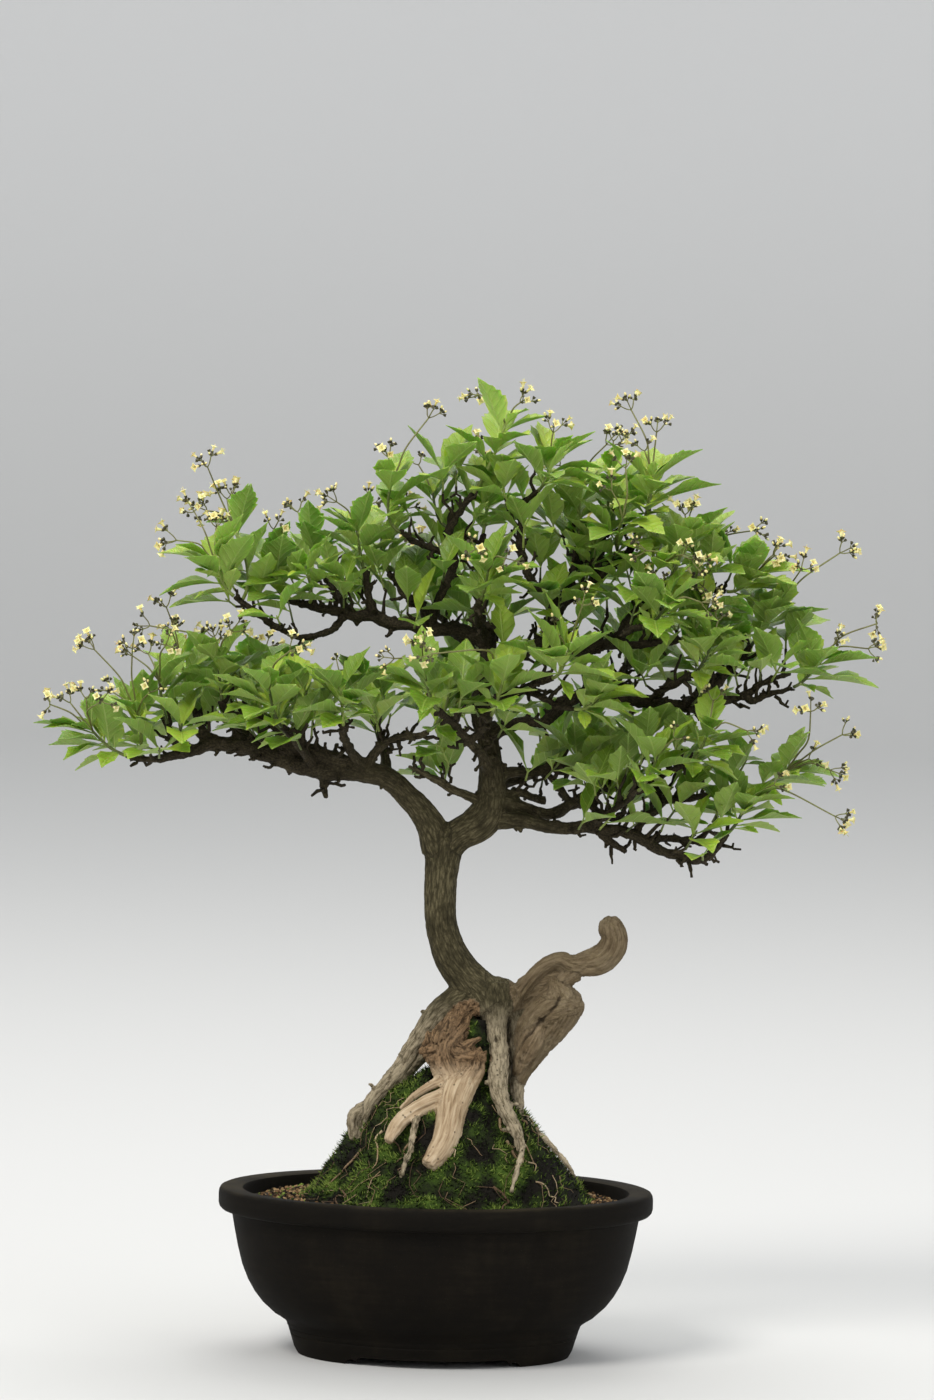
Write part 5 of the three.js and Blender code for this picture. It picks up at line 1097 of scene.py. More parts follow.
def mound_point(share, angle):
    """A point of the mound's skin, at shares of the way from its middle to its edge."""
    share, angle = np.broadcast_arrays(np.asarray(share, float), np.asarray(angle, float))
    edge = np.clip((MOUND_SKIRT - share) / 0.07, 0, 1)
    x = MOUND_CENTRE[0] + MOUND_HALF_LENGTH * share * np.cos(angle)
    y = MOUND_CENTRE[1] + MOUND_HALF_DEPTH * share * np.sin(angle)
    z = SOIL_TOP + TOUCH + 3 * edge * edge * (3 - 2 * edge) + mound_rise(np.minimum(share, 1), angle)
    points = np.stack([x, y, z], axis=-1).reshape(-1, 3)
    puff = 3.6 * ripple(points, 9) + 1.6 * ripple(points, 3.6)
    points[:, 2] += puff * edge.ravel()
    return points.reshape(*share.shape, 3)


def mound_way(share, angle):
    """The way out of the mound's skin at a place."""
    here = mound_point(share, angle)
    outward = mound_point(share + 0.02, angle) - here
    sideways = mound_point(share, angle + 0.03) - here
    way = np.cross(outward, sideways)
    return way / np.linalg.norm(way, axis=-1, keepdims=True)


def core_rings():
    """The mossy earth that stands up between the roots behind the dead wood, with the way out of it."""
    line = fair(MOSS_CORE, 2.0)
    out = around(line[:, :3], 1.0, 40) - line[:, None, :3]
    rings = line[:, None, :3] + out * line[:, None, 3:]
    points = rings.reshape(-1, 3)
    puff = 2.2 * ripple(points, 7) + 1.2 * ripple(points, 3)
    return rings + out * puff.reshape(*rings.shape[:2], 1), out


def moss_cover(points):
    """Patches in the moss, and how thickly it grows: thinly on the dark earth at the right."""
    patch = ripple(points, PATCH_SIZE)
    earth = np.clip((points[:, 0] - EARTH_FROM) / 14, 0, 1)
    return patch, np.clip(1.15 - 0.8 * earth + 1.2 * np.minimum(patch + 0.2, 0), 0.45 - 0.3 * earth, 1)


def build_mound():
    """The mound's mossy skin and the core that stands on it."""
    skin = Skin()
    shares = np.linspace(MOUND_SKIRT, 0.02, MOUND_ROWS)
    angles = full_turn(MOUND_SIDES)
    for rings in (mound_point(shares[:, None], angles[None, :]), core_rings()[0]):
        ends = [rings[0].mean(axis=0), rings[-1].mean(axis=0)]
        patch, cover = moss_cover(np.vstack([rings.reshape(-1, 3), ends]))
        skin.tube(rings, tint=0.16 + 0.2 * cover + 0.25 * patch)
    piece("moss_cushions", skin.mesh("moss_cushions", [MOSS]), "moss", "moss_mound")


def build_moss_shoots(rng):
    """Short pointed shoots that stand out of the cushions, in lighter and darker patches."""
    skin = Skin()
    share = np.sqrt(rng.uniform(0.02, 1.06, MOSS_SHOOTS))
    angle = rng.uniform(0, 2 * math.pi, MOSS_SHOOTS)
    core, out = (rings.reshape(-1, 3) for rings in core_rings())
    picked = rng.integers(len(core), size=CORE_SHOOTS)
    foot = np.vstack([mound_point(share, angle), core[picked] + rng.normal(0, 0.4, (CORE_SHOOTS, 3))])
    way = np.vstack([mound_way(share, angle), out[picked]])
    patch, cover = moss_cover(foot)
    kept = rng.uniform(size=len(foot)) < cover
    foot, way, patch, count = foot[kept], way[kept], patch[kept], int(kept.sum())
    way = way + rng.normal(0, 0.42, (count, 3)) + (0, 0, 0.25)
    way /= np.linalg.norm(way, axis=1)[:, None]
    aside = np.cross(way, rng.normal(size=(count, 3)))
    aside /= np.linalg.norm(aside, axis=1)[:, None]
    over = np.cross(way, aside)
    length = rng.uniform(*SHOOT_LENGTH, count) * (1 + 0.5 * patch)
    wide = rng.uniform(*SHOOT_WIDTH, count)
    low = foot - way * 0.6
    corners = [low + wide[:, None] * swung(aside, over, turn) for turn in (0, 2.1, 4.2)]
    points = np.stack([*corners, foot + way * length[:, None]], axis=1).reshape(-1, 3)
    first = np.arange(count)[:, None] * 4
    faces = [first + corner for corner in ((0, 1, 3), (1, 2, 3), (2, 0, 3), (2, 1, 0))]
    tint = np.clip(0.45 + 0.55 * patch + rng.uniform(-0.2, 0.2, count), 0.1, 0.95)
    lift = np.tile((-0.12, -0.12, -0.12, 0.12), count)
    skin.add(points, faces, tint=np.repeat(tint, 4) + lift)
    piece("moss_shoots", skin.mesh("moss_shoots", [MOSS]), "moss")


def slope_line(rng, share, angle, length, steps, lift):
    """A line that wanders down the mound's skin."""
    places = []
    for _ in range(steps):
        places.append((share, angle))
        share += length / steps / 95
        angle += rng.normal(0, 0.055)
    shares, angles = np.array(places).T
    return mound_point(shares, angles) + mound_way(shares, angles) * (lift + rng.normal(0, 0.35, (steps, 1)))


def build_fibres(rng):
    """Thin roots and dead threads that lie over the moss and the grit."""
    skin = Skin()
    for k in range(FINE_ROOTS):
        angle = rng.uniform(-1.6, 0.6) if k % 4 == 0 else rng.uniform(0, 2 * math.pi)
        line = slope_line(rng, rng.uniform(0.45, 0.95), angle, rng.uniform(9, 30), 7, 0.5)
        line[:, 2] = np.maximum(line[:, 2], SOIL_TOP + 0.6)
        line = fair(np.column_stack([line, np.linspace(rng.uniform(0.55, 1.1), 0.3, len(line))]), 1.8)
        skin.rod(line[:, :3], line[:, 3], 6, tint=rng.uniform(0.15, 0.65))
    for _ in range(MOSS_THREADS):
        share, angle = rng.uniform(0.4, 1.0), rng.uniform(0, 2 * math.pi)
        line = slope_line(rng, share, angle, rng.uniform(7, 24), 6, 1.3)
        line[:, 2] = np.maximum(line[:, 2], SOIL_TOP + 0.8)
        skin.rod(line, np.linspace(0.26, 0.14, len(line)), 4, tint=rng.uniform(0.05, 0.6))
    piece("fine_roots", skin.mesh("fine_roots", [FIBRE]), "moss")


# Wood


def wood_route(name):
    """The wood of a limb or branch, which ends where the green shoot of its last spray starts."""
    route = LIMBS.get(name) or BRANCHES[name]
    if not any(spray[:2] == (name, 1) for spray in SPRAYS):
        return route
    before, end = route[-2:]
    back = min(SHOOT_START / math.dist(before[:3], end[:3]), 0.7)
    return [*route[:-1], tuple(e + (b - e) * back for b, e in zip(before, end))]


def route_point(route, share):
    """A point and its radius at a share of the way through a route's list."""
    place = share * (len(route) - 1)
    index = min(int(place), len(route) - 2)
    rest = place - index
    return np.array([a + (b - a) * rest for a, b in zip(route[index], route[index + 1])])


def carved(points):
    """How deep the clefts and hollows lie at places on the wood."""
    depth = np.zeros(len(points))
    for deep, wide, cleft in CLEFTS:
        apart = np.min(np.linalg.norm(points[:, None] - fair(cleft, 0.8), axis=2), axis=1)
        depth = np.maximum(depth, deep * np.exp(-((np.maximum(apart - wide / 2, 0) / wide) ** 2)))
    for middle, radius, deep in HOLLOWS:
        past = np.maximum(np.linalg.norm(points - middle, axis=1) - radius * 0.6, 0)
        depth = np.maximum(depth, deep * np.exp(-((past / (radius * 0.5)) ** 2)))
    return depth


class Grove:
    """Routes of wood that are fused into one skin, with what the bark reads from the nearest of them."""

    def __init__(self):
        self.skin = Skin()
        self.samples = []

    def grow(self, route, sides, wobble=0.0, pale=0.0, bare=0.0, darkens=False, depth=1.0):
        """Adds a route, round or of less depth. Bark that darkens does so away from the fork of the trunk."""
        line = fair(route, WOOD_STEP)
        points, radii = line[:, :3], line[:, 3]
        drift = [noise.noise_vector(Vector(point) / 13) for point in points]
        points = points + np.array(drift) * wobble
        rings = around(points, radii, sides)
        rings[..., 1] = points[:, None, 1] * (1 - depth) + rings[..., 1] * depth
        self.skin.tube(rings)
        along, aside, over = frames(points)
        arc = np.concatenate([[0], np.cumsum(np.linalg.norm(np.diff(points, axis=0), axis=1))])
        far = np.linalg.norm(points - TRUNK[-1][:3], axis=1)
        dark = np.clip((far - DARK_FROM) / DARK_OVER, 0, 1) * darkens
        for row in zip(points, radii, along, aside, over, arc, dark):
            self.samples.append((*row, pale, bare))
        return points, radii, along, aside, over

    def lump(self, middle, radii):
        turn = np.linspace(0, math.pi, 14)[1:-1]
        side = full_turn(24)
        flat = np.stack([np.outer(np.sin(turn), np.cos(side)), np.outer(np.sin(turn), np.sin(side))], axis=-1)
        up = np.broadcast_to(np.cos(turn)[:, None, None], (*flat.shape[:2], 1))
        self.skin.tube(np.concatenate([flat, up], axis=-1) * radii + middle)

    def knobs(self, grown, rng, spacing):
        """Swellings and short dead stubs, as cut twigs leave them along old branches."""
        points, radii, along, aside, over = grown
        at = rng.uniform(2, spacing)
        while at < len(points) * WOOD_STEP - 4:
            i = int(at / WOOD_STEP)
            way = swung(aside[i], over[i], rng.uniform(0, 2 * math.pi))
            radius = radii[i]
            if rng.uniform() < 0.5:
                length = radius + rng.uniform(1.6, 6.0)
                way = unit(way + along[i] * rng.uniform(-0.2, 0.9) + (0, 0, 0.25))
                bend = rng.normal(0, 0.5, 3)
                line = [points[i] + way * length * part + bend * part**2 for part in (0, 0.45, 0.75, 1)]
                wide = min(radius * 0.62, 1.5)
                widths = [wide * 1.3, wide, wide * 0.85, wide * 0.95]
            else:
                wide = min(radius * 0.6, 2.4) + 0.35
                middle = points[i] + way * radius * 0.62
                line = [middle - along[i] * wide * part for part in (-1.25, -0.8, 0, 0.8, 1.25)]
                widths = [wide * 0.35, wide * 0.8, wide, wide * 0.8, wide * 0.35]
            self.skin.rod(line, widths, 8)
            at += rng.uniform(0.45, 1.5) * spacing

    def surface(self, voxel, rounds):
        """The fused skin's points and faces, smoothed, and the way out of it at each point."""
        holder = bare_object("rough", self.skin)
        weld = holder.modifiers.new("weld", "REMESH")
        weld.mode = "VOXEL"
        weld.voxel_size = voxel
        mesh = worked(holder)
        points = np.empty(len(mesh.vertices) * 3)
        mesh.vertices.foreach_get("co", points)
        corners = np.empty(len(mesh.loops), np.int32)
        mesh.loops.foreach_get("vertex_index", corners)
        points, faces = points.reshape(-1, 3), corners.reshape(-1, 4)
        bpy.data.meshes.remove(mesh)
        start, end = faces.ravel(), np.roll(faces, -1, axis=1).ravel()
        degree = np.bincount(start, minlength=len(points))[:, None]
        for weight in SMOOTHING * rounds:
            total = np.stack([np.bincount(start, points[end, k], len(points)) for k in range(3)], axis=1)
            points = points + weight * (total / degree - points)
        a, b, c, d = (points[faces[:, k]] for k in range(4))
        across = np.cross(c - a, d - b)
        out = np.zeros_like(points)
        for corner in range(4):
            for k in range(3):
                out[:, k] += np.bincount(faces[:, corner], across[:, k], len(points))
        return points, faces, out / np.linalg.norm(out, axis=1)[:, None]

    def nearest(self, points):
        """For each point, the sample whose bark lies nearest to it."""
        tree = KDTree(len(self.samples))
        for i, sample in enumerate(self.samples):
            tree.insert(sample[0], i)
        tree.balance()
        radii = [sample[1] for sample in self.samples]
        found = []
        for point in points:
            near = tree.find_n(point, 8)
            found.append(min(near, key=lambda one: one[2] - radii[one[1]])[1])
        return np.array(found)

    def bark(self, name, voxel, rounds=3):
        """The fused skin with its fissures, knobs and grooves raised."""
        points, faces, out = self.surface(voxel, rounds)
        found = self.nearest(points)
        middle, radius, along, aside, over, arc, dark, pale, bare = (
            np.array([sample[k] for sample in self.samples])[found] for k in range(9)
        )
        off = points - middle
        spread = [(off * aside).sum(axis=1), (off * over).sum(axis=1), arc + (off * along).sum(axis=1)]
        grain = np.stack(spread, axis=1)
        size = np.clip(radius / 6, 0.3, 1)
        pale = pale * np.clip((PALE_BELOW - points[:, 2]) / PALE_OVER, 0, 1)
        torn = bare * np.clip((points[:, 2] - TORN_ABOVE) / TORN_OVER, 0, 1)
        fold = ripple(grain * (0.26, 0.26, 0.04))
        crack = ripple(grain * (0.5, 0.5, 0.085) + 40)
        knob = ripple(points, 4.2) + 0.6 * ripple(points, 1.9)
        pit = np.clip(ripple(points, 2.2, 90) - 0.36, 0, 1)
        furrow = np.exp(-((crack / 0.1) ** 2))
        rise = size * (0.55 * fold - 0.3 * furrow) * (1 - 0.6 * dark)
        rise = rise + (0.2 + 0.45 * dark + 0.75 * pale) * knob
        rise += torn * size * (1.5 * fold - 1.3 * furrow) - (0.6 * pale + 0.5 * bare) * pit * 4
        rise -= carved(points)
        # height tells the finish how far each point is raised or sunk, and the finish paints shade in the
        # sunk places.
        skin = Skin()
        skin.add(
            points + out * rise[:, None], [faces], grain=grain, dark=dark, pale=pale, bare=bare,
            torn=torn, height=rise / np.maximum(size, 0.4),
        )
        return skin.mesh(name, [BARK])


def build_wood(rng):
    """The trunk with its roots and dead wood, and all limbs and branches, as two skins that grow together."""
    base = Grove()
    base.grow(TRUNK, 40)
    for middle, radii in LUMPS:
        base.lump(middle, radii)
    for route in ROOTS.values():
        base.knobs(base.grow(route, 24, wobble=1.0, pale=0.8), rng, 18)
    for name, route in DEAD_WOOD.items():
        if name.startswith("horn"):
            base.grow(route, 24, bare=0.35)
        else:
            base.grow(route, 24, bare=1.0, depth=BLADE_DEPTH)
    base.grow(BURL_SLAB, 24, bare=0.5)
    for route in SPLINTERS:
        base.grow(route, 12, bare=1.0)
    for route in RUNNERS.values():
        base.grow(route, 12, pale=1.0)
    for name, cut in (("left_limb", 7), ("right_limb", 8)):
        base.grow(wood_route(name)[:cut], 30, darkens=True)
    crown = Grove()
    for name in LIMBS:
        start = 4 if name in ("left_limb", "right_limb") else 0
        crown.knobs(crown.grow(wood_route(name)[start:], 18, wobble=0.9, darkens=True), rng, 5.0)
    for name in BRANCHES:
        crown.knobs(crown.grow(wood_route(name), 12, wobble=1.1, darkens=True), rng, 4.5)
    piece("grown_wood", base.bark("grown_wood", BASE_VOXEL), "bark", "trunk_and_roots")
    piece("branches", crown.bark("branches", CROWN_VOXEL, 2), "bark")


# Sprays, placed as in the part's source


@dataclass
class Leaf:
    base: np.ndarray
    azimuth: float
    rise: float
    droop: float
    roll: float
    length: float


@dataclass
class Cyme:
    bow: np.ndarray
    fork: np.ndarray
    flowers: list


@dataclass
class Spray:
    index: int
    start: np.ndarray
    bend: np.ndarray
    tip: np.ndarray
    azimuth: float
    leaf_length: float
    pairs: int
    heads: list
    leaves: list = field(default_factory=list)
    cymes: list = field(default_factory=list)


class Room:
    """Places taken by wood and blades, and how far each keeps the rest away."""

    def __init__(self):
        self.places = np.empty((0, 3))
        # For each place: distance from others, owner, share of its length, distance from its own
        self.facts = np.empty((0, 4))

    def take(self, points, distance, owner, share, own=KIN_ROOM):
        points = np.atleast_2d(points)
        facts = np.empty((len(points), 4))
        facts[:] = np.column_stack(np.broadcast_arrays(distance, owner, share, own))
        self.places = np.vstack([self.places, points])
        self.facts = np.vstack([self.facts, facts])

    def clear(self, points, owner, share, part=1.0, inside=INNER_PART, nearer=0.0):
        """Whether points keep clear of all that is taken. Near its stem a blade needs none from its own."""
        points = np.atleast_2d(points)
        reach = self.facts[:, 0].max() * part
        low, high = points.min(axis=0) - reach, points.max(axis=0) + reach
        near = np.all((self.places > low) & (self.places < high), axis=1)
        facts = self.facts[near]
        share = np.broadcast_to(share, len(points))[:, None]
        inner = (share < inside) | (facts[:, 2] < inside)
        kin_room = np.where(inner, 0, facts[:, 3] - nearer / 2)
        room = np.where(facts[:, 1] != owner, facts[:, 0] - nearer, kin_room)
        apart = np.linalg.norm(points[:, None] - self.places[near], axis=2)
        return not np.any(apart < part * room)


def stem_point(spray, share):
    """The stem leaves the wood straight and turns up to its tip."""
    return spray.start * (1 - share) ** 2 + spray.bend * 2 * share * (1 - share) + spray.tip * share**2


def make_stem(index, wood, share, tip, azimuth, leaf_length, pairs, heads):
    route = wood_route(wood)
    place = route_point(route, share)
    last = max(1, math.ceil(share * (len(route) - 1)))
    along = unit(np.subtract(route[last], route[last - 1])[:3])
    tip = np.array(tip, float)
    towards = tip - place[:3]
    leave = along if share == 1 else unit(towards - along * (towards @ along))
    start = place[:3] + leave * (TOUCH if share == 1 else place[3] + TOUCH)
    bend = start + leave * 0.4 * math.dist(tip, start)
    return Spray(index, start, bend, tip, azimuth, leaf_length, pairs, heads)


def stem_frame(spray, share):
    """The way a stem runs at a share of its length, and two directions square to it."""
    along = unit(stem_point(spray, min(share + 0.05, 1)) - stem_point(spray, max(share - 0.05, 0)))
    chord = unit(spray.tip - spray.start)
    angle = math.radians(spray.azimuth)
    facing = np.array([math.cos(angle), math.sin(angle), 0.1])
    square = facing - chord * (facing @ chord)
    aside = unit(square - along * (square @ along))
    return along, aside, np.cross(along, aside)


def rib(leaf, share):
    """The midrib at shares of a leaf's length, with the directions across and over the blade there."""
    share = np.asarray(share, float)[..., None]
    rise = leaf.rise - leaf.droop * share
    out = (math.sin(leaf.rise) - np.sin(rise)) / leaf.droop
    up = (np.cos(rise) - math.cos(leaf.rise)) / leaf.droop
    heading = np.array([math.cos(leaf.azimuth), math.sin(leaf.azimuth), 0])
    level = np.array([-heading[1], heading[0], 0])
    over = UP * np.cos(rise) - heading * np.sin(rise)
    across = level * math.cos(leaf.roll) + over * math.sin(leaf.roll)
    above = over * math.cos(leaf.roll) - level * math.sin(leaf.roll)
    return leaf.base + leaf.length * (heading * out + UP * up), across, above


def blade_point(leaf, share, offset):
    """A point of the blade at a share of its length, with its offset across as a share of its width."""
    place, across, above = rib(leaf, share)
    width = leaf.length * LEAF_WIDTH * np.asarray(offset, float)[..., None]
    return place + across * width * math.cos(LEAF_FOLD) + above * np.abs(width) * math.sin(LEAF_FOLD)


def blade_spread(leaf):
    """Points spread over a blade, by which it keeps clear of others, and their shares of its length."""
    shares = [share for share, _ in SPREAD_ROWS for _ in range(5)] + [1]
    offsets = [half * part for _, half in SPREAD_ROWS for part in (-1, -0.5, 0, 0.5, 1)] + [0]
    return blade_point(leaf, shares, offsets), np.array(shares)


def draw_leaf(spray, pair, side, attempt, draw):
    """A leaf stands out from its stem, leans forward along it, more so towards the tip, and arches over."""
    share = STEM_FOOT + (1 - STEM_FOOT) * (pair + 0.5) / spray.pairs
    height = (pair + 1) / spray.pairs
    along, aside, over = stem_frame(spray, share)
    turn = math.radians(90 * pair + 180 * side + (9 + 4 * attempt) * draw())
    lean = math.radians(30 + 20 * height + (8 + 2 * attempt) * draw())
    way = swung(aside, over, turn) * math.cos(lean) + along * math.sin(lean)
    rise = max(LOWEST_RISE, min(HIGHEST_RISE, math.asin(way[2])))
    droop = math.radians(26 - 6 * height + 12 * draw())
    roll = math.radians(15 * draw())
    length = spray.leaf_length * (1 - 0.16 * height + 0.08 * draw()) * (1 - 0.03 * attempt)
    return Leaf(stem_point(spray, share), math.atan2(way[1], way[0]), rise, droop, roll, length)


def place_leaves(spray, room, nearer=0.0, within=None):
    draw = draws(LEAF_SEED + LEAF_SEED_STEP * spray.index)
    for pair in range(spray.pairs):
        for side in (0, 1):
            for attempt in range(TRIES):
                leaf = draw_leaf(spray, pair, side, attempt, draw)
                points, shares = blade_spread(leaf)
                if within is not None and (np.any(points < within[0]) or np.any(points > within[1])):
                    continue
                if room.clear(points, spray.index, shares, nearer=nearer):
                    room.take(points, LEAF_ROOM, spray.index, shares)
                    spray.leaves.append(leaf)
                    break


def draw_cyme(spray, head, attempt, draw):
    """A flower head: its stalk bows from the spray's tip to a fork, where the flowers part."""
    middle = np.add(head, [3 * attempt * draw(), 3 * attempt * draw(), 2.5 * attempt])
    way = middle - spray.tip
    height = max(math.hypot(*way), SHORTEST_STALK)
    reach = unit(way) * height
    fork = spray.tip + reach * (1 - HEAD_HEIGHT / height)
    bow = spray.tip + reach * 0.28 + stem_frame(spray, 1)[0] * 0.18 * height
    axis = unit(fork - bow)
    aside, over = sides_of(axis)
    turn = math.pi * draw()
    flowers = []
    for k in range(3):
        angle = turn + 2 * math.pi * k / 3
        out = HEAD_SPREAD * (1 + 0.2 * draw())
        flat = fork + aside * out * math.cos(angle) + over * out * math.sin(angle)
        flowers.append(flat + axis * HEAD_HEIGHT * (1 + 0.25 * draw()))
    return Cyme(bow, fork, flowers)


def place_cymes(spray, room):
    draw = draws(HEAD_SEED + HEAD_SEED_STEP * spray.index)
    for head in spray.heads:
        for attempt in range(TRIES):
            cyme = draw_cyme(spray, head, attempt, draw)
            spread = [cyme.bow, cyme.fork, *cyme.flowers]
            spread += [(cyme.fork + flower) / 2 for flower in cyme.flowers]
            for part in (0.3, 0.5, 0.75):
                spread.append(cyme.bow + (cyme.fork - cyme.bow) * part)
                spread.append(spray.tip + (cyme.bow - spray.tip) * part)
            if room.clear(spread, spray.index, 1, STALK_PART, 0.1):
                room.take(spread, LEAF_ROOM, spray.index, 1)
                spray.cymes.append(cyme)
                break


def grow_sprays(room):
    """All sprays, with their leaves and flower heads placed clear of each other and of the wood."""
    for route in [TRUNK, *map(wood_route, LIMBS), *map(wood_route, BRANCHES)]:
        steps = 4 * (len(route) - 1)
        for i in range(steps + 1):
            place = route_point(route, i / steps)
            room.take(place[:3], place[3] + WOOD_ROOM, -1, 1)
    sprays = [make_stem(index, *entry) for index, entry in enumerate(SPRAYS)]
    for spray in sprays:
        for i in range(1, 11):
            room.take(stem_point(spray, i / 10), WOOD_ROOM, spray.index, 1, STEM_ROOM)
    for spray in sprays:
        place_leaves(spray, room)
    for spray in sprays:
        place_cymes(spray, room)
    return sprays


def draw_spur(place, sides, rng):
    """A thin crooked spur that stands out from a place on a branch: its places with their radii."""
    along, aside, over = sides
    turn = rng.uniform(0, 2 * math.pi)
    way = swung(aside, over, turn) + along * 0.5 + UP * rng.uniform(-0.6, 1.0)
    length = rng.uniform(4, 17)
    share = np.arange(5)[:, None] / 4
    bends = rng.normal(0, 0.07 * length, (5, 3)) * (share > 0)
    places = place[:3] + unit(way) * (place[3] * 0.9 + length * share) + UP * 0.25 * length * share**2 + bends
    return np.column_stack([places, np.linspace(1.3, 0.75, 5) * rng.uniform(0.8, 1.25, 5)])


def grow_shoot(spur, index, room, rng):
    """A short green shoot with smaller leaves at the end of a spur, or nothing if there is no room for it."""
    start = spur[-1, :3]
    way = unit(unit(start - spur[-2, :3]) + UP * 0.7)
    length = rng.uniform(6, 16)
    tip = start + way * length
    stem = np.linspace(start + way * 3, tip, 4)
    if not room.clear(stem, index, 1, 0.5):
        return None
    azimuth = math.degrees(math.atan2(way[1], way[0])) + rng.uniform(-40, 40)
    size = rng.uniform(33, 48)
    pairs = 2 if length > 10 else 1
    twig = Spray(index, start - way * 0.6, start + way * length * 0.4, tip, azimuth, size, pairs, [])
    lowest = np.maximum(ROOM_BOX[0] + 1, [-999, -999, start[2] - 3])
    place_leaves(twig, room, YOUNG_ROOM, (lowest, ROOM_BOX[1] - 1))
    if not twig.leaves:
        return None
    room.take(stem, WOOD_ROOM, index, 1, STEM_ROOM)
    return twig


def grow_twigs(room, rng):
    """Spurs along the outer wood, wherever there is room for them, and the shoots that most of them bear."""
    spurs = []
    twigs = []
    for name in [*LIMBS, *BRANCHES]:
        line = fair(wood_route(name), WOOD_STEP)
        sides = np.stack(frames(line[:, :3]), axis=1)
        at = len(line) * FIRST_TWIG
        while at < len(line) - 2:
            i = int(at)
            at += rng.uniform(0.6, 1.4) * SPUR_STEP / WOOD_STEP
            if line[i, 2] < LOWEST_TWIG or line[i, 3] > THICKEST_TWIG_WOOD:
                continue
            index = FIRST_TWIG_OWNER + len(spurs)
            tries = (draw_spur(line[i], sides[i], rng) for _ in range(TRIES))
            spur = next((spur for spur in tries if room.clear(spur[1:, :3], index, 1, 0.5)), None)
            if spur is None:
                continue
            spurs.append(spur)
            room.take(spur[1:, :3], 2.6, index, 1, 1.0)
            if rng.uniform() < LEAFY_SPURS and spur[-1, 2] > spur[0, 2]:
                twigs.append(grow_shoot(spur, index, room, rng))
    return spurs, [twig for twig in twigs if twig]


def build_spurs(spurs, rng):
    """The spurs as thin crooked twigs, some with a stub at their side."""
    skin = Skin()
    for spur in spurs:
        skin.rod(spur[:, :3], spur[:, 3], 6, dark=1.0)
        if rng.uniform() < 0.5:
            foot = spur[rng.integers(2, 4), :3]
            way = unit(unit(rng.normal(size=3)) + UP * 0.4)
            skin.rod([foot, foot + way * rng.uniform(2, 4.5)], [0.8, 0.65], 5, dark=1.0)
    piece("fine_twigs", skin.mesh("fine_twigs", [BARK]), "bark")


# Finer leaves, shoots and flowers, with their finishes by number

LEAFY = [LEAF, LEAF_BACK, SHOOT, STALK, CALYX, PETAL]
FACE, BACK, GREEN, STEMS, CUPS, FLOWERS = range(len(LEAFY))


def blade_rows(shares, teeth):
    """Shares of a leaf's length with half its width there, which stands out and in at each tooth."""
    cuts = {}
    for tooth in teeth:
        cuts[tooth] = 1.09
        cuts[tooth + 0.022] = 0.88
        cuts[tooth - 0.045] = 1.0
    shares = sorted([*shares, *cuts])
    outline = np.array(LEAF_OUTLINE)
    halves = np.interp(shares, outline[:, 0], outline[:, 1]) * [cuts.get(share, 1.0) for share in shares]
    return np.array(shares), halves


def add_leaf(skin, leaf, rng, tint, young=False):
    """A leaf as a thin closed blade: folded along its midrib, waved at its edge and a little twisted."""
    columns = 5 if young else 7
    kinds = YOUNG_TEETH if young else TEETH
    shares, halves = blade_rows(YOUNG_SHARES if young else BLADE_SHARES, kinds[rng.integers(len(kinds))])
    place, across, above = rib(leaf, shares)
    size = leaf.length
    half = (halves * size * LEAF_WIDTH * WIDER)[:, None]
    column = np.linspace(-1, 1, columns)[None, :]
    under = column[:, -2:0:-1]
    fold = LEAF_FOLD * (0.75 + 0.5 * np.sin(math.pi * shares))[:, None]
    phase = rng.uniform(0, 6.3)
    waves = rng.uniform(9, 15)
    depth = rng.uniform(0.012, 0.034) * size
    twist = (rng.normal(0, 0.16) * shares**2)[:, None]
    bow = (rng.normal(0, 0.035) * size * shares**2)[:, None]
    broad = np.sin(math.pi * np.clip(shares, 0, 1))[:, None]
    thick = LEAF_THICK * (1 + 1.1 * np.exp(-((shares / 0.12) ** 2)))[:, None] / 2

    def sheet(at, way):
        """One side of the blade, with its waves, its thickness and the groove of its midrib."""
        out = half * at * np.cos(fold)
        lift = half * np.abs(at) * np.sin(fold) * (1 - 0.35 * np.abs(at))
        lift = lift + depth * broad * at * at * np.sin(waves * shares[:, None] + phase + np.sign(at) * 1.1)
        lift = lift + way * thick * np.sqrt(np.clip(1 - at * at, 0, 1))
        lift = lift - 0.3 * np.exp(-((at * half / 0.9) ** 2)) * broad
        out, lift = out - lift * twist + bow, lift + out * twist
        return place[:, None] + across[:, None] * out[..., None] + above[:, None] * lift[..., None]

    rings = np.concatenate([sheet(column, 1), sheet(under, -1)], axis=1)
    offsets = np.concatenate([half * column, half * under], axis=1)
    blade = np.stack([offsets, np.broadcast_to(shares[:, None] * size, offsets.shape), offsets * 0], axis=-1)
    rows, sides = rings.shape[:2]
    finish = np.tile(np.where(np.arange(sides) < columns - 1, FACE, BACK), rows - 1)
    finish = np.concatenate([finish, np.full(2 * sides, FACE)])
    blade = np.vstack([blade.reshape(-1, 3), blade[0].mean(axis=0), blade[-1].mean(axis=0)])
    skin.tube(rings, finish, blade=blade, tint=tint)


def bell(skin, foot, way, rows, size, sides, finish, **values):
    """A small round form along a way, from rows of distance, radius and how much of its lobes shows there."""
    aside, over = sides_of(way)
    turn = full_turn(sides)
    flat = aside * np.cos(turn)[:, None] + over * np.sin(turn)[:, None]
    rings = []
    for far, radius, share in rows:
        reach = radius * size * (1 + LOBE_DEPTH * share * np.cos(LOBES * turn))
        rings.append(foot + way * (far * size) + flat * reach[:, None])
    skin.tube(np.array(rings), finish, **values)


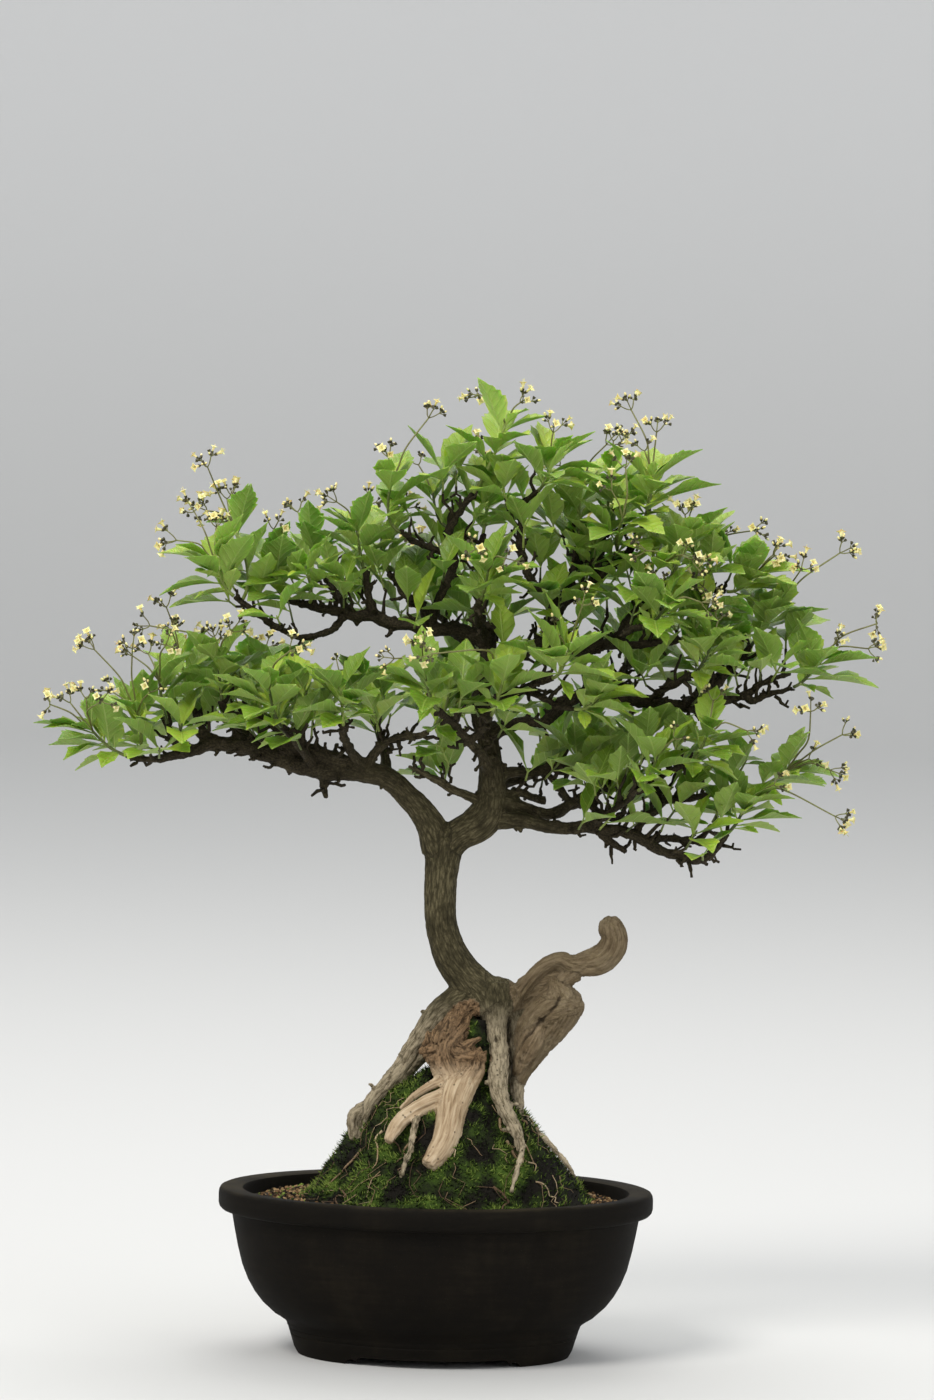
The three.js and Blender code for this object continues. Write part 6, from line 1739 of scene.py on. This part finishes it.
def add_flower(skin, foot, way, rng, kind):
    """A calyx cup on its stalk, empty or with a bud or an open flower in it."""
    size = rng.uniform(0.66, 0.9)
    bell(skin, foot, way, CUP, size, 6, CUPS, tint=rng.uniform(0.3, 0.7))
    if kind == "bud":
        bell(skin, foot, way, BUD, size, 6, FLOWERS, tint=0.35)
    if kind == "open":
        bell(skin, foot, way, BLOOM, size, 12, FLOWERS, tint=0.6)
        for k in range(2):
            tip = foot + way * (7.6 + 0.5 * k) * size + rng.normal(0, 0.7, 3)
            skin.rod([foot + way * 4 * size, tip], [0.13, 0.2], 3, FLOWERS, tint=0.2)


def add_cyme(skin, spray, cyme, rng):
    """A stalk that parts at its fork into arms, each with a cluster of calyces, buds and flowers."""
    foot = spray.tip - stem_frame(spray, 1)[0]
    stalk = fair([foot, (foot + cyme.bow) / 2, cyme.bow, cyme.fork], 2.2)
    skin.rod(stalk, np.linspace(0.62, 0.45, len(stalk)), 6, STEMS, tint=0.5)
    axis = unit(cyme.fork - cyme.bow)
    for flower in cyme.flowers:
        end = cyme.fork + (flower - cyme.fork) * ARM_PART
        end = np.clip(end, ROOM_BOX[0] + HEAD_MARGIN, ROOM_BOX[1] - HEAD_MARGIN)
        arm = unit(end - cyme.fork)
        bowed = (cyme.fork + end) / 2 - axis * 0.7
        skin.rod(fair([cyme.fork, bowed, end], 1.6), 0.38, 6, STEMS, tint=0.5)
        kinds = ["open" if rng.uniform() < 0.62 else "bud"]
        for _ in range(rng.integers(2, 5)):
            kinds.append(("bud", "cup", "open")[rng.choice(3, p=(0.3, 0.56, 0.14))])
        turn = rng.uniform(0, 2 * math.pi)
        aside, over = sides_of(arm, (0.8, 0.36, 0.48))
        for k, kind in enumerate(kinds):
            spread = 0.25 if k == 0 else rng.uniform(0.7, 1.2)
            way = unit(arm + swung(aside, over, turn + 2.4 * k) * spread)
            stem = rng.uniform(1.0, 2.6)
            skin.rod([end - way * 0.2, end + way * (stem + 0.3)], [0.3, 0.28], 5, STEMS, tint=0.5)
            add_flower(skin, end + way * stem, way, rng, kind)


def add_stem(skin, spray, radius, rows, sides, rng):
    """A green shoot, a little thicker at the joints where its leaves stand."""
    shares = np.linspace(0, 1, rows)
    points = np.array([stem_point(spray, share) for share in shares])
    points[0] -= (points[1] - points[0]) * 0.25
    joints = [STEM_FOOT + (1 - STEM_FOOT) * (pair + 0.5) / spray.pairs for pair in range(spray.pairs)]
    swell = sum(np.exp(-(((shares - joint) / 0.05) ** 2)) for joint in joints)
    radii = radius * (1 - 0.42 * shares) * (1 + 0.22 * swell)
    skin.rod(points, radii, sides, GREEN, tint=rng.uniform(0.3, 0.7))


def young_leaves(spray, room, rng):
    """Smaller leaves that unfold at a stem's tip, and others between the large pairs and at its foot."""
    grown = []
    for share, size, lean, turns in YOUNG_LEAVES:
        along, aside, over = stem_frame(spray, share)
        for turn in turns:
            for _ in range(TRIES // 2):
                out = swung(aside, over, math.radians(turn + rng.uniform(-35, 35)))
                way = unit(out + along * math.tan(lean) * 0.6)
                rise = max(-0.4, min(1.35, math.asin(way[2])))
                length = spray.leaf_length * size * rng.uniform(0.75, 1.15)
                droop = rng.uniform(0.15, 0.65)
                roll = rng.normal(0, 0.2)
                leaf = Leaf(stem_point(spray, share), math.atan2(way[1], way[0]), rise, droop, roll, length)
                points, shares = blade_spread(leaf)
                inside = in_room(points, YOUNG_MARGIN)
                if inside and room.clear(points, spray.index, shares, 1, 0.35, YOUNG_ROOM):
                    room.take(points, LEAF_ROOM, spray.index, shares)
                    grown.append(leaf)
                    break
    return grown


def low_heads(spray, room, rng):
    """Smaller flower heads on short stalks among the leaves, more of them towards the ends of the tree."""
    if abs(spray.tip[0]) > END_SPRAYS:
        wanted = 2 if spray.tip[0] < 0 else 1
    else:
        wanted = int(rng.uniform() < LOW_HEAD_CHANCE)
    if not wanted:
        return []
    grown = []
    along = stem_frame(spray, 1)[0]
    for _ in range(TRIES):
        way = unit(along * 0.35 + unit(rng.normal(size=3)) * 0.75 + UP * 0.6)
        fork = spray.tip + way * rng.uniform(13, 22)
        aside, over = sides_of(way)
        turn = rng.uniform(0, 2 * math.pi)
        flowers = [fork + way * 6.5 + swung(aside, over, angle) * 5.5 for angle in (turn, turn + 2.8)]
        bow = spray.tip + (fork - spray.tip) * 0.45 + along * 1.5
        halfway = [(fork + flower) / 2 for flower in flowers]
        points = np.array([bow, (bow + fork) / 2, fork, *flowers, *halfway])
        if in_room(points, LOW_HEAD_MARGIN) and room.clear(points, spray.index, 1, 0.66, 0.1):
            room.take(points, LOW_HEAD_ROOM, spray.index, 1)
            grown.append(Cyme(bow, fork, flowers))
            if len(grown) == wanted:
                break
    return grown


def finish_leafy(name, skin, *replaced):
    mesh = skin.mesh(name, LEAFY)
    mesh.set_sharp_from_angle(angle=math.radians(100))
    piece(name, mesh, "foliage", *replaced)


def build_sprays(rng):
    """One finer piece for each spray, and one for the short shoots between them."""
    room = Room()
    sprays = grow_sprays(room)
    spurs, twigs = grow_twigs(room, rng)
    build_spurs(spurs, rng)
    for spray in sprays:
        skin = Skin()
        add_stem(skin, spray, STEM_RADIUS, 15, 8, rng)
        # Each spray's tone is drawn at random and lifted on the higher sprays as painted light from above.
        tone_and_top_light = rng.uniform(0.3, 0.6) + 0.2 * np.clip((spray.tip[2] - 430) / 110, 0, 1)
        for place, leaf in enumerate(spray.leaves):
            add_leaf(skin, leaf, rng, tone_and_top_light + 0.05 * place / 3 + rng.uniform(-0.16, 0.16))
        for leaf in young_leaves(spray, room, rng):
            add_leaf(skin, leaf, rng, min(tone_and_top_light + rng.uniform(0.15, 0.4), 0.95), young=True)
        for cyme in spray.cymes + low_heads(spray, room, rng):
            add_cyme(skin, spray, cyme, rng)
        number = f"{spray.index + 1:02d}"
        finish_leafy("leafy_spray_" + number, skin, "spray_" + number)
    skin = Skin()
    for twig in twigs:
        add_stem(skin, twig, YOUNG_STEM_RADIUS, 7, 6, rng)
        for leaf in twig.leaves:
            add_leaf(skin, leaf, rng, rng.uniform(0.3, 0.85), young=True)
    finish_leafy("young_twigs", skin)


# Stage, lights and camera


def build_stage():
    """A pale floor that turns up into a plain wall far away, all round, painted lighter up the wall to stand
    in for light.
    """
    sides = 128
    turn = full_turn(sides)
    rise = np.linspace(0, math.pi / 2, 24)
    profile = [(1.0, 0.0), (3.0, 0.0)]
    profile += [(6.5 + 2.5 * math.sin(a), 2.5 - 2.5 * math.cos(a)) for a in rise] + [(9.0, 3.4)]
    points = [(0.0, 0.0, 0.0)] + [(r * math.cos(a), r * math.sin(a), z) for r, z in profile for a in turn]
    faces = [(0, 1 + k, 1 + (k + 1) % sides) for k in range(sides)]
    faces += (wrapped(len(profile), sides)[:, ::-1] + 1).tolist()
    mesh = bpy.data.meshes.new("floor")
    mesh.from_pydata(points, [], faces)
    mesh.shade_smooth()
    paper = Finish("floor_paper", 0.85, Specular_IOR_Level=0.2)
    # Painted light: the paper lightens with height so that the far wall looks lit.
    height = paper.rise(paper.part(paper.place(), 2), -0.1, 1.6)
    paper.feed("Base Color", paper.mix(height, (204, 203, 200), (232, 231, 229)))
    mesh.materials.append(paper.material)
    linked("floor", mesh)


def add_light(name, place, size, watts, colour):
    """A round lamp that faces the tree."""
    lamp = bpy.data.lights.new(name, "AREA")
    lamp.shape = "DISK"
    lamp.size = size
    lamp.energy = watts
    lamp.color = colour
    made = linked(name, lamp)
    made.location = place
    made.rotation_euler = (Vector((0, 0, 0.3)) - Vector(place)).to_track_quat("-Z", "Y").to_euler()


def build_lights():
    world = bpy.data.worlds.new("pale_room")
    world.use_nodes = True
    sky = world.node_tree.nodes["Background"]
    sky.inputs["Color"].default_value = (0.93, 0.96, 1.0, 1)
    sky.inputs["Strength"].default_value = 0.8
    bpy.context.scene.world = world
    add_light("key", (-1.7, -2.3, 3.2), 1.6, 104, (1.0, 0.98, 0.95))
    add_light("fill", (2.6, -2.2, 1.6), 2.2, 28, (0.95, 0.97, 1.0))
    add_light("top", (0.2, 1.0, 3.6), 2.4, 60, (1.0, 1.0, 1.0))
    bpy.context.scene.view_settings.view_transform = "Standard"


def build_camera():
    lens = bpy.data.cameras.new("camera")
    lens.lens = CAMERA_LENS
    lens.sensor_width = 36
    lens.clip_start = 0.05
    lens.clip_end = 60
    tilt = Matrix.Rotation(math.radians(90 - CAMERA_TILT), 4, "X")
    roll = Matrix.Rotation(math.radians(CAMERA_ROLL), 4, "Z")
    camera = linked("camera", lens)
    place = Matrix.Translation(Vector(np.array(CAMERA_PLACE) * MM + POT_PLACE))
    camera.matrix_world = place @ (tilt @ roll)
    bpy.context.scene.camera = camera


build_pot()
for name, finish in (("drain_screen_left", PLASTIC), ("drain_screen_right", PLASTIC), ("soil", EARTH)):
    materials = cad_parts[name].data.materials
    materials.clear()
    materials.append(finish)
noise.seed_set(SEED)  # noise_vector would otherwise start from the clock
rng = np.random.default_rng(SEED)
build_grains(rng)
build_mound()
build_moss_shoots(rng)
build_fibres(rng)
build_wood(rng)
build_sprays(rng)
build_stage()
build_lights()
build_camera()
